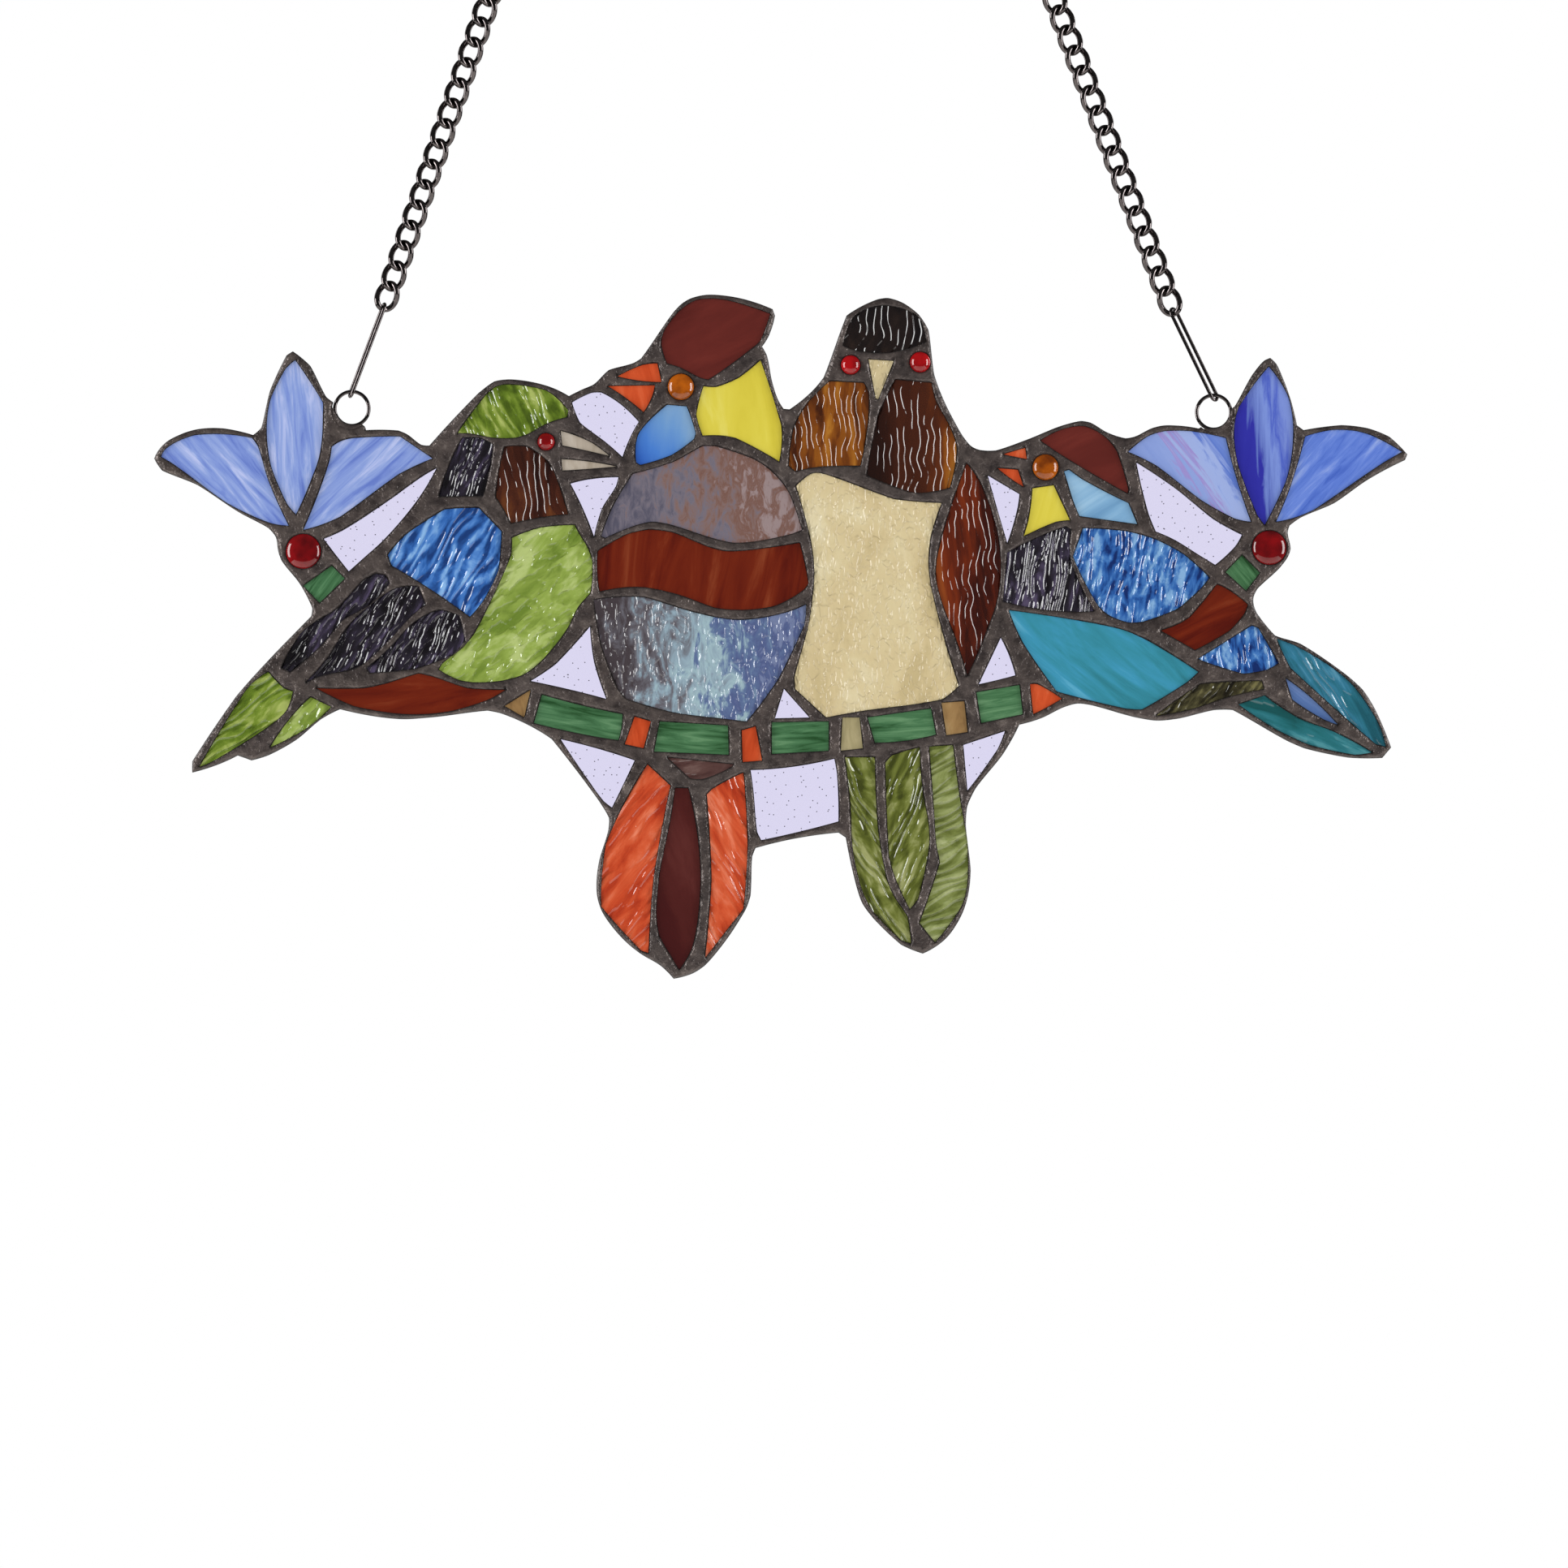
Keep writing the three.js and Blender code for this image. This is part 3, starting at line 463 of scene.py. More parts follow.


# Glass. A finish has four tones from dark to light. Its streaks have a width in mm and are so many times
# longer than wide. Its ripple has a spacing and a depth in mm, a share of round dimples, and a share of
# painted light and shade in the tone: crests painted lighter, hollows darker.
Streak = namedtuple("Streak", "width stretch")
Ripple = namedtuple("Ripple", "spacing depth dimples tint")
Finish = namedtuple("Finish", "tones streak ripple roughness")
CLEAR_RIPPLE = Ripple(12, 0.2, 0.5, 0)
FINISHES = {
    "periwinkle": Finish(
        ((98, 120, 194), (122, 144, 208), (140, 160, 214), (180, 190, 230)),
        Streak(3.5, 9), Ripple(16, 0.1, 0.5, 0), 0.1),
    "branch_green": Finish(
        ((34, 72, 38), (58, 100, 64), (72, 116, 78), (98, 140, 100)),
        Streak(2.5, 9), Ripple(9, 0.08, 0.5, 0), 0.12),
    "moss": Finish(
        ((66, 86, 16), (94, 118, 30), (118, 140, 48), (164, 178, 96)),
        Streak(9, 2), Ripple(3.8, 0.72, 0.35, 0.6), 0.06),
    "sage": Finish(
        ((104, 128, 44), (128, 150, 62), (144, 166, 76), (176, 192, 118)),
        Streak(12, 2.5), Ripple(4.4, 0.8, 0.75, 0.5), 0.06),
    "night": Finish(
        ((8, 5, 10), (24, 20, 28), (40, 35, 48), (80, 70, 96)),
        Streak(7, 3), Ripple(3, 0.7, 0.35, 0.4), 0.07),
    "cap_night": Finish(
        ((8, 4, 6), (18, 11, 11), (26, 17, 15), (40, 28, 23)),
        Streak(9, 3), Ripple(6.4, 0.42, 0.05, 0.15), 0.07),
    "chestnut": Finish(
        ((82, 18, 8), (98, 27, 10), (108, 34, 13), (128, 56, 30)),
        Streak(9, 6), Ripple(14, 0.1, 0.5, 0), 0.1),
    "russet": Finish(
        ((50, 10, 2), (84, 26, 6), (110, 38, 8), (140, 66, 22)),
        Streak(11, 7), Ripple(5.4, 0.31, 0.05, 0.1), 0.07),
    "umber": Finish(
        ((30, 6, 2), (54, 20, 8), (72, 32, 16), (104, 56, 24)),
        Streak(11, 5), Ripple(6.2, 0.35, 0.05, 0.2), 0.07),
    "azure": Finish(
        ((20, 56, 116), (46, 98, 172), (76, 128, 198), (134, 178, 226)),
        Streak(10, 2), Ripple(4, 0.66, 0.3, 0.8), 0.06),
    "azure_broken": Finish(
        ((12, 40, 100), (38, 88, 160), (66, 118, 184), (128, 170, 212)),
        Streak(5, 2), Ripple(3.6, 0.6, 0.5, 0.7), 0.06),
    "beige": Finish(
        ((152, 139, 122), (168, 156, 140), (177, 165, 150), (192, 182, 169)),
        Streak(6, 4), Ripple(14, 0.08, 0.5, 0), 0.14),
    "tan": Finish(
        ((124, 94, 58), (146, 114, 72), (158, 126, 82), (178, 150, 106)),
        Streak(6, 4), Ripple(14, 0.08, 0.5, 0), 0.14),
    "orange": Finish(
        ((176, 60, 24), (192, 72, 34), (204, 82, 42), (220, 110, 70)),
        Streak(8, 4), Ripple(12, 0.1, 0.5, 0), 0.1),
    "orange_ripple": Finish(
        ((166, 48, 20), (194, 70, 34), (210, 90, 52), (232, 136, 104)),
        Streak(9, 4), Ripple(5, 0.7, 0.4, 0.3), 0.07),
    "mahogany": Finish(
        ((82, 27, 23), (92, 33, 28), (100, 37, 31), (112, 45, 37)),
        Streak(14, 4), Ripple(18, 0.05, 0.5, 0), 0.16),
    "lemon": Finish(
        ((202, 186, 58), (210, 195, 66), (214, 200, 74), (222, 212, 106)),
        Streak(14, 4), Ripple(16, 0.08, 0.5, 0), 0.12),
    "dusk": Finish(
        ((78, 72, 86), (102, 94, 106), (124, 108, 112), (154, 142, 148)),
        Streak(3, 2), Ripple(5, 0.22, 0.8, 0.2), 0.12),
    "slate": Finish(
        ((60, 68, 90), (88, 104, 134), (116, 136, 164), (156, 180, 196)),
        Streak(6, 2), Ripple(3.4, 0.55, 0.8, 0.2), 0.08),
    "maroon": Finish(
        ((66, 20, 20), (74, 26, 24), (78, 29, 27), (88, 38, 35)),
        Streak(14, 4), Ripple(18, 0.05, 0.5, 0), 0.16),
    "honey": Finish(
        ((62, 24, 2), (114, 58, 10), (142, 82, 18), (178, 118, 40)),
        Streak(10, 6), Ripple(5, 0.27, 0.05, 0.2), 0.07),
    "cream": Finish(
        ((192, 174, 130), (204, 186, 143), (209, 193, 151), (220, 208, 172)),
        Streak(20, 2), Ripple(3, 0.5, 0.95, 0), 0.1),
    "olive": Finish(
        ((60, 66, 18), (88, 96, 34), (112, 120, 54), (156, 160, 104)),
        Streak(8, 2), Ripple(4, 0.7, 0.3, 0.6), 0.07),
    "olive_pale": Finish(
        ((88, 98, 40), (114, 124, 62), (134, 144, 84), (166, 174, 120)),
        Streak(8, 2), Ripple(4, 0.7, 0.2, 0.5), 0.07),
    "teal": Finish(
        ((44, 118, 132), (52, 134, 154), (60, 144, 176), (96, 172, 200)),
        Streak(12, 5), Ripple(14, 0.16, 0.5, 0), 0.1),
    "teal_ripple": Finish(
        ((24, 84, 98), (36, 104, 122), (50, 118, 146), (110, 168, 192)),
        Streak(9, 6), Ripple(5, 0.65, 0.4, 0.3), 0.08),
    "sky": Finish(
        ((96, 142, 184), (108, 152, 190), (122, 166, 202), (150, 188, 216)),
        Streak(14, 4), Ripple(16, 0.08, 0.5, 0), 0.1),
    "periwinkle_deep": Finish(
        ((60, 84, 140), (78, 106, 158), (86, 114, 166), (112, 134, 182)),
        Streak(5, 7), Ripple(14, 0.1, 0.5, 0), 0.1),
    "periwinkle_blue": Finish(
        ((66, 96, 186), (88, 118, 202), (104, 132, 210), (146, 166, 222)),
        Streak(3.5, 9), Ripple(16, 0.1, 0.5, 0), 0.1),
    "plum": Finish(
        ((58, 34, 32), (78, 51, 48), (90, 63, 59), (116, 92, 86)),
        Streak(5, 4), Ripple(4, 0.4, 0.3, 0.3), 0.07),
    "teal_green": Finish(
        ((18, 80, 82), (30, 102, 108), (42, 114, 124), (90, 158, 166)),
        Streak(9, 6), Ripple(5, 0.65, 0.4, 0.3), 0.08),
    "khaki": Finish(
        ((146, 136, 100), (162, 151, 112), (174, 162, 124), (192, 182, 148)),
        Streak(6, 4), Ripple(14, 0.08, 0.5, 0), 0.14),
    "bronze": Finish(
        ((22, 18, 6), (50, 46, 26), (74, 70, 44), (116, 110, 70)),
        Streak(7, 2), Ripple(3.6, 0.6, 0.4, 0.6), 0.07),
}
# Tiles whose finish, or the lean of whose streaks from upright in degrees, is not the slot's own.
TILES = {
    "left_blossom_petal_left": ("periwinkle", -42),
    "left_blossom_petal_top": ("periwinkle", -6),
    "left_blossom_petal_right": ("periwinkle", 46),
    "left_blossom_stem": ("branch_green", 35),
    "left_bird_crest": ("moss", -28),
    "left_bird_nape": ("night", 20),
    "left_bird_cheek": ("umber", -6),
    "left_bird_wing": ("azure", 30),
    "left_bird_feather_outer": ("night", 34),
    "left_bird_feather_middle": ("night", 30),
    "left_bird_feather_inner": ("night", 26),
    "left_bird_breast": ("sage", 50),
    "left_bird_belly": ("chestnut", 84),
    "left_bird_tail": ("moss", 55),
    "left_bird_tail_small": ("sage", 40),
    "second_bird_head": ("mahogany", 70),
    "second_bird_neck": ("lemon", -12),
    "second_bird_band": ("chestnut", 10),
    "second_bird_tail_left": ("orange_ripple", 38),
    "second_bird_tail_right": ("orange_ripple", -28),
    "second_bird_tail_root": ("plum", 80),
    "third_bird_cap": ("cap_night", 12),
    "third_bird_beak": ("cream", 0),
    "third_bird_shoulder_left": ("honey", -3),
    "third_bird_wing": ("russet", -4),
    "third_bird_tail_left": ("olive", -32),
    "third_bird_tail_center": ("olive", 24),
    "third_bird_tail_right": ("olive_pale", 66),
    "right_bird_head": ("mahogany", 60),
    "right_bird_throat": ("lemon", 10),
    "right_bird_neck": ("sky", 55),
    "right_bird_chest": ("night", 8),
    "right_bird_wing": ("azure_broken", 12),
    "right_bird_rump": ("chestnut", 62),
    "right_bird_flank": ("azure_broken", -6),
    "right_bird_belly": ("teal", -50),
    "right_bird_undertail": ("bronze", 40),
    "right_bird_tail_upper": ("teal_ripple", -34),
    "right_bird_tail_middle": ("periwinkle_deep", -48),
    "right_bird_tail_lower": ("teal_green", -66),
    "right_blossom_petal_left": ("periwinkle", -38),
    "right_blossom_petal_right": ("periwinkle_blue", 42),
    "right_blossom_stem": ("branch_green", -40),
    "branch_section_1": ("branch_green", 100),
    "branch_section_2": ("branch_green", 94),
    "branch_section_3": ("branch_green", 88),
    "branch_section_4": ("branch_green", 86),
    "branch_section_5": ("branch_green", 80),
    "branch_foot_3": ("khaki", 0),
}
# Tiles whose tones run from one pixel of the photograph to another. Streaks is the share that the streaks
# have in the way, and each stop is a share of the way and its tone.
Sweep = namedtuple("Sweep", "finish start end streaks stops")
SWEEPS = {
    "right_blossom_petal_left": Sweep("periwinkle", (1390, 557), (1474, 491), 0.4, (
        (0, (122, 144, 206)), (0.38, (136, 156, 212)), (0.46, (150, 134, 196)), (0.53, (152, 168, 216)),
        (0.66, (150, 168, 218)), (0.76, (88, 116, 196)), (1, (110, 136, 206)))),
    "right_blossom_petal_top": Sweep("periwinkle", (1510, 590), (1594, 575), 0.35, (
        (0.1, (40, 38, 146)), (0.48, (46, 46, 156)), (0.56, (92, 110, 184)), (0.72, (118, 140, 208)),
        (0.85, (74, 94, 188)), (1, (118, 138, 206)))),
    "second_bird_throat": Sweep("sky", (778, 572), (842, 514), 0.35, (
        (0.1, (44, 92, 182)), (0.4, (70, 122, 200)), (0.75, (104, 148, 200)), (1, (124, 160, 198)))),
    "second_bird_back": Sweep("dusk", (740, 650), (960, 580), 0.9, (
        (0, (84, 82, 98)), (0.35, (112, 106, 118)), (0.6, (124, 100, 96)), (0.8, (116, 84, 74)),
        (1, (146, 128, 128)))),
    "second_bird_belly": Sweep("slate", (742, 800), (980, 790), 0.75, (
        (0, (66, 58, 62)), (0.22, (100, 98, 106)), (0.42, (140, 162, 176)), (0.56, (156, 182, 190)),
        (0.72, (92, 112, 150)), (0.9, (78, 90, 134)), (1, (112, 124, 160)))),
    "third_bird_shoulder_right": Sweep("umber", (1080, 520), (1188, 520), 0.4, (
        (0, (32, 8, 2)), (0.5, (68, 28, 10)), (0.72, (94, 42, 10)), (0.86, (140, 78, 18)),
        (1, (164, 104, 34)))),
}


def relief(x, z, ripple, lean, seed):
    """How far the glass stands proud: sine waves whose crests run with the streaks, bent by slow noise,
    blended with pits of noise."""
    across = x * math.cos(lean) - z * math.sin(lean)
    bend = BEND_TURN * value_noise(x, z, BEND_SIZE, seed + 1)
    waves = np.sin(2 * math.pi * across / (MILLIMETRE * ripple.spacing) + bend)
    pits = value_noise(x, z, MILLIMETRE * PIT_SIZE * ripple.spacing, seed)
    depth = MILLIMETRE * RELIEF_SHARE * min(ripple.depth, RELIEF_DEPTH)
    return depth * ((1 - ripple.dimples) * waves + ripple.dimples * pits)


def tile_surface(window, ripple, lean, seed):
    """One tile: its outline grown under the lead, a lattice inside it, and the relief of its glass."""
    ring = window + outward(window) * GLASS_UNDER_LEAD
    step = float(np.clip(MILLIMETRE * STEP_SHARE * ripple.spacing, *STEP_RANGE))
    lattice = hex_grid(ring.min(axis=0), ring.max(axis=0), step)
    lattice = lattice[inside(lattice, ring)]
    lattice = lattice[clearance(lattice, ring) > RIM_CLEARANCE * step]
    places, faces = triangles_of(
        np.concatenate([ring, lattice]), [len(ring)], lambda middles: inside(middles, ring))
    height = GLASS_HALF - SKIN_DROP + relief(places[:, 0], places[:, 1], ripple, lean, seed)
    return places, faces, [np.arange(len(ring))], height


def gem_surface(centre, radius):
    """A domed gem: rings about its axis whose radius and depth follow a rounded dome, a girdle and a flat
    back, closed by a point at each end."""
    sweep = np.linspace(0, 0.5 * math.pi, GEM_ROWS)
    dome = np.stack([radius * np.sin(sweep), GLASS_HALF + GEM_DOME * np.cos(sweep)], axis=1)
    profile = np.concatenate([dome[1:], np.array(GEM_GIRDLE) * (radius, 1)])
    turn = np.linspace(0, 2 * math.pi, GEM_SIDES, endpoint=False)
    x = centre[0] + profile[:, :1] * np.cos(turn)
    z = centre[1] + profile[:, :1] * np.sin(turn)
    y = -np.repeat(profile[:, 1:], GEM_SIDES, axis=1)
    points = np.stack([x, y, z], axis=2).reshape(-1, 3)
    poles = [[centre[0], -GLASS_HALF - GEM_DOME, centre[1]], [centre[0], GLASS_HALF, centre[1]]]
    grid = np.arange(len(profile) * GEM_SIDES).reshape(len(profile), GEM_SIDES)
    after = np.roll(grid, -1, axis=1)
    quads = np.stack([grid[:-1], grid[1:], after[1:], after[:-1]], axis=2).reshape(-1, 4)
    front_pole, back_pole = len(points), len(points) + 1
    front = [[front_pole, a, b] for a, b in zip(grid[0], after[0])]
    back = [[back_pole, b, a] for a, b in zip(grid[-1], after[-1])]
    return np.concatenate([points, poles]), quads.tolist() + front + back


# Wire

def tube(path, radius, sides, closed=True):
    """A round wire along a path: at each point a circle square to the path, its first corner turned away
    from the middle of the loop. An open wire gets a point at each end."""
    if closed:
        along = np.roll(path, -1, axis=0) - np.roll(path, 1, axis=0)
    else:
        along = np.gradient(path, axis=0)
    along /= np.linalg.norm(along, axis=1)[:, None]
    away = path - path.mean(axis=0)
    away -= np.sum(away * along, axis=1)[:, None] * along
    away /= np.linalg.norm(away, axis=1)[:, None]
    across = np.cross(along, away)
    turn = np.linspace(0, 2 * math.pi, sides, endpoint=False)
    girth = np.broadcast_to(radius, len(path))[:, None, None]
    points = (
        path[:, None, :]
        + girth * np.cos(turn)[None, :, None] * away[:, None, :]
        + girth * np.sin(turn)[None, :, None] * across[:, None, :]).reshape(-1, 3)
    grid = np.arange(len(path) * sides).reshape(len(path), sides)
    beside = np.roll(grid, -1, axis=1)
    onward, both = np.roll(grid, -1, axis=0), np.roll(beside, -1, axis=0)
    if closed:
        return points, np.stack([grid, beside, both, onward], axis=2).reshape(-1, 4).tolist()
    quads = np.stack([grid, beside, both, onward], axis=2)[:-1].reshape(-1, 4).tolist()
    first, last = len(points), len(points) + 1
    quads += [[first, b, a] for a, b in zip(grid[0], beside[0])]
    quads += [[last, a, b] for a, b in zip(grid[-1], beside[-1])]
    return np.concatenate([points, path[:1], path[-1:]]), quads


def leaned(points, lean, centre):
    """Points leaned about Y, towards +X at the top, and moved to a centre."""
    x = points[:, 0] * math.cos(lean) + points[:, 2] * math.sin(lean)
    z = points[:, 2] * math.cos(lean) - points[:, 0] * math.sin(lean)
    return np.stack([x, points[:, 1], z], axis=1) + centre


def circle_path(radius, steps, start=0.0, end=2 * math.pi, endpoint=False):
    """Points of a circle, or of an arc of it, about the origin in the XZ plane."""
    turn = np.linspace(start, end, steps, endpoint=endpoint)
    return np.stack([radius * np.cos(turn), 0 * turn, radius * np.sin(turn)], axis=1)


def link_path(twist):
    """An oval link whose sides swing out of its plane by the twist times the sine of twice the angle."""
    turn = np.linspace(0, 2 * math.pi, LINK_STEPS, endpoint=False)
    return np.stack([
        LINK_HALF_WIDTH * np.cos(turn), twist * np.sin(2 * turn), LINK_HALF_LENGTH * np.sin(turn)], axis=1)


def long_loop_path(length, half):
    """Two straight legs joined by half circles, in the YZ plane, at equal steps along the wire."""
    total = 2 * length + 2 * math.pi * half
    way = np.linspace(0, total, HOOK_STEPS, endpoint=False)
    bend = math.pi * half
    top = np.clip(way - length, 0, bend) / half
    bottom = np.clip(way - 2 * length - bend, 0, bend) / half
    y = -half * np.cos(top) * np.where(way > length + bend, np.cos(bottom), 1)
    up = np.clip(way, 0, length) - np.clip(way - length - bend, 0, length)
    z = up - length / 2 + half * np.sin(top) - half * np.sin(bottom)
    return np.stack([0 * y, y, z], axis=1)


# Finishes

def linear(rgb):
    """An 8-bit colour as linear light."""
    share = np.array(rgb) / 255
    return [*np.where(share <= 0.04045, share / 12.92, ((share + 0.055) / 1.055)**2.4).tolist(), 1]


def new_material(name):
    """A material with its node tree and its shader."""
    material = bpy.data.materials.new(name)
    material.use_nodes = True
    return material, material.node_tree, material.node_tree.nodes["Principled BSDF"]


def add(tree, kind, inputs=(), **settings):
    """One shader node with its settings and the values of its inputs."""
    node = tree.nodes.new(kind)
    for key, value in settings.items():
        setattr(node, key, value)
    for key, value in dict(inputs).items():
        node.inputs[key].default_value = value
    return node


def ramp(tree, factor, stops):
    """A colour ramp between 8-bit colours at their places from 0 to 1."""
    node = add(tree, "ShaderNodeValToRGB")
    elements = node.color_ramp.elements
    while len(elements) < len(stops):
        elements.new(0.5)
    for element, (position, colour) in zip(elements, stops):
        element.position = position
        element.color = linear(colour)
    tree.links.new(factor, node.inputs["Fac"])
    return node.outputs["Color"]


def space_of(tree, lean=0.0, scale=(1, 1, 1), centre=(0, 0, 0)):
    """Object coordinates about a centre, leaned about Y and divided by a scale."""
    source = add(tree, "ShaderNodeTexCoord")
    mapping = add(tree, "ShaderNodeMapping", {
        "Rotation": (0, lean, 0), "Scale": scale, "Location": centre}, vector_type="TEXTURE")
    tree.links.new(source.outputs["Object"], mapping.inputs["Vector"])
    return mapping.outputs["Vector"]


def noise(tree, space, scale, detail=4.0, distortion=0.0, roughness=0.5):
    """Fractal noise in a space."""
    node = add(tree, "ShaderNodeTexNoise", {
        "Scale": scale, "Detail": detail, "Distortion": distortion, "Roughness": roughness})
    tree.links.new(space, node.inputs["Vector"])
    return node.outputs["Fac"]


def blend(tree, first, second, share):
    """The first value plus a share of the second's distance from one half."""
    node = add(tree, "ShaderNodeMath", {1: share, 2: -0.5 * share}, operation="MULTIPLY_ADD")
    tree.links.new(second, node.inputs[0])
    total = add(tree, "ShaderNodeMath", operation="ADD")
    tree.links.new(first, total.inputs[0])
    tree.links.new(node.outputs[0], total.inputs[1])
    return total.outputs[0]


def bump(tree, shader, height, distance):
    """A bump of the given depth in metres on a shader's surface."""
    node = add(tree, "ShaderNodeBump", {"Strength": 1.0, "Distance": distance})
    tree.links.new(height, node.inputs["Height"])
    tree.links.new(node.outputs["Normal"], shader.inputs["Normal"])


def ripple_height(tree, lean, ripple):
    """Crests that run with the lean, blended with round dimples. Glass with few dimples has flat bands
    between narrow steep steps, and the other kinds have soft waves that wander more."""
    if ripple.dimples < FEW_DIMPLES:
        stretch, distortion, slope = 1.0, 5.0, 0.2
    else:
        stretch, distortion, slope = 3.2 - 1.5 * ripple.dimples, 11.0, 0.5
    width = MILLIMETRE * ripple.spacing
    space = space_of(tree, lean, (width, width, stretch * width))
    waves = add(tree, "ShaderNodeTexWave", {
        "Scale": WAVE_SCALE, "Distortion": distortion, "Detail": 1.5, "Detail Scale": 1.5,
        "Detail Roughness": 0.45})
    tree.links.new(space, waves.inputs["Vector"])
    crests = smooth_step(tree, waves.outputs["Fac"], 0.5 - slope, 0.5 + slope)
    dimples = smooth_step(tree, noise(tree, space, 1.3, detail=1, distortion=0.5), 0.4, 0.62)
    mix = add(tree, "ShaderNodeMix", {0: ripple.dimples})
    tree.links.new(crests, mix.inputs[2])
    tree.links.new(dimples, mix.inputs[3])
    return mix.outputs[0]


def smooth_step(tree, value, low, high):
    """A value as 0 below low, 1 above high, and a smooth rise between."""
    ends = {"From Min": low, "From Max": high}
    node = add(tree, "ShaderNodeMapRange", ends, interpolation_type="SMOOTHSTEP")
    tree.links.new(value, node.inputs[0])
    return node.outputs[0]


def sweep_across(tree, sweep, streaks):
    """The share of the way from a sweep's start to its end, disturbed by the streaks."""
    start, end = place(sweep.start), place(sweep.end)
    length = float(np.linalg.norm(end - start))
    heading = math.atan2(-(end - start)[1], (end - start)[0])
    parts = add(tree, "ShaderNodeSeparateXYZ")
    across = space_of(tree, heading, (length, length, length), (start[0], 0, start[1]))
    tree.links.new(across, parts.inputs[0])
    return blend(tree, parts.outputs[0], streaks, 2 * sweep.streaks)


def glass_material(name, finish, angle, sweep=None):
    """A sheet of coloured glass: streaks of four tones, or tones that run across the tile, under a rippled
    skin. Ripples with a share of painted shading have their crests painted lighter and their hollows darker."""
    tones, streak, ripple, roughness = FINISHES[finish]
    material, tree, shader = new_material(name)
    lean = math.radians(angle)
    width = MILLIMETRE * streak.width
    space = space_of(tree, lean, (width, width, width * streak.stretch))
    tone = noise(tree, space, 0.8, detail=5, distortion=0.8, roughness=0.62)
    stops = tuple(zip(TONE_PLACES, tones))
    if sweep:
        stops = sweep.stops
        tone = sweep_across(tree, sweep, tone)
    height = ripple_height(tree, lean, ripple)
    # Painted light and shade: the tone is lighter on the ripple's crests and darker in its hollows.
    if ripple.tint:
        tone = blend(tree, tone, height, RIPPLE_PAINTED_SHADING * ripple.tint)
    tree.links.new(ramp(tree, tone, stops), shader.inputs["Base Color"])
    shader.inputs["Roughness"].default_value = roughness
    shader.inputs["IOR"].default_value = GLOSSY_IOR if roughness < GLOSSY else SATIN_IOR
    bump(tree, shader, height, MILLIMETRE * ripple.depth)
    return material


def clear_material():
    """Pale lilac clear glass with small dark seeds in its surface, at the middles of Voronoi cells in the
    panel's plane."""
    material, tree, shader = new_material("clear_glass")
    shader.inputs["Roughness"].default_value = 0.02
    shader.inputs["IOR"].default_value = 1.5
    shader.inputs["Transmission Weight"].default_value = 1.0
    seeds = add(
        tree, "ShaderNodeTexVoronoi", {"Scale": 250.0, "Randomness": 1.0}, voronoi_dimensions="2D")
    upright = add(tree, "ShaderNodeMapping", {"Rotation": (math.pi / 2, 0, 0)}, vector_type="TEXTURE")
    tree.links.new(space_of(tree), upright.inputs["Vector"])
    tree.links.new(upright.outputs["Vector"], seeds.inputs["Vector"])
    stops = [(0, (70, 66, 76)), (0.045, (96, 92, 104)), (0.075, (222, 218, 244)), (1, (222, 218, 244))]
    tree.links.new(ramp(tree, seeds.outputs["Distance"], stops), shader.inputs["Base Color"])
    bump(tree, shader, noise(tree, space_of(tree), 120, detail=1), 0.0003)
    return material


def gem_material(name, dark, light):
    """Polished glass with a slow swirl of two tones."""
    material, tree, shader = new_material(name)
    swirl = noise(tree, space_of(tree), 140, detail=3)
    tree.links.new(ramp(tree, swirl, [(0.35, dark), (0.65, light)]), shader.inputs["Base Color"])
    shader.inputs["Roughness"].default_value = 0.03
    shader.inputs["IOR"].default_value = 1.62
    return material


def solder_material(name, painted_seam_shade):
    """Dark patina over solder: warm greys in patches, a fine hammered bump and a satin gloss. With painted
    seam shade, the solder is painted black as shade beside the seams, by a mask that its mesh holds."""
    material, tree, shader = new_material(name)
    space = space_of(tree)
    patches = noise(tree, space, 210, detail=4, roughness=0.6)
    stops = [(0.3, (58, 51, 50)), (0.5, (86, 77, 74)), (0.64, (100, 90, 86)), (0.76, (136, 125, 119))]
    colour = ramp(tree, patches, stops)
    # Painted shade: black mixed into the solder beside the seams, where the glass edges would shade it.
    if painted_seam_shade:
        painted_shade_mask = add(tree, "ShaderNodeAttribute", attribute_name="painted_shade_mask")
        painted_shade = add(tree, "ShaderNodeMix", {"A": linear((22, 19, 19))}, data_type="RGBA")
        tree.links.new(painted_shade_mask.outputs["Fac"], painted_shade.inputs["Factor"])
        tree.links.new(colour, painted_shade.inputs["B"])
        colour = painted_shade.outputs["Result"]
    tree.links.new(colour, shader.inputs["Base Color"])
    shader.inputs["Metallic"].default_value = 0.4
    shader.inputs["Roughness"].default_value = 0.27
    hammered = blend(tree, noise(tree, space, 300, detail=3), noise(tree, space, 900, detail=3), 0.3)
    bump(tree, shader, hammered, 0.0013)
    return material


def wire_material():
    """Black nickel: dark bright metal in two close tones."""
    material, tree, shader = new_material("black_nickel")
    wear = noise(tree, space_of(tree), 400, detail=4)
    tree.links.new(
        ramp(tree, wear, [(0.3, (84, 79, 80)), (0.7, (116, 109, 108))]), shader.inputs["Base Color"])
    shader.inputs["Metallic"].default_value = 1.0
    shader.inputs["Roughness"].default_value = 0.1
    return material


# The pieces

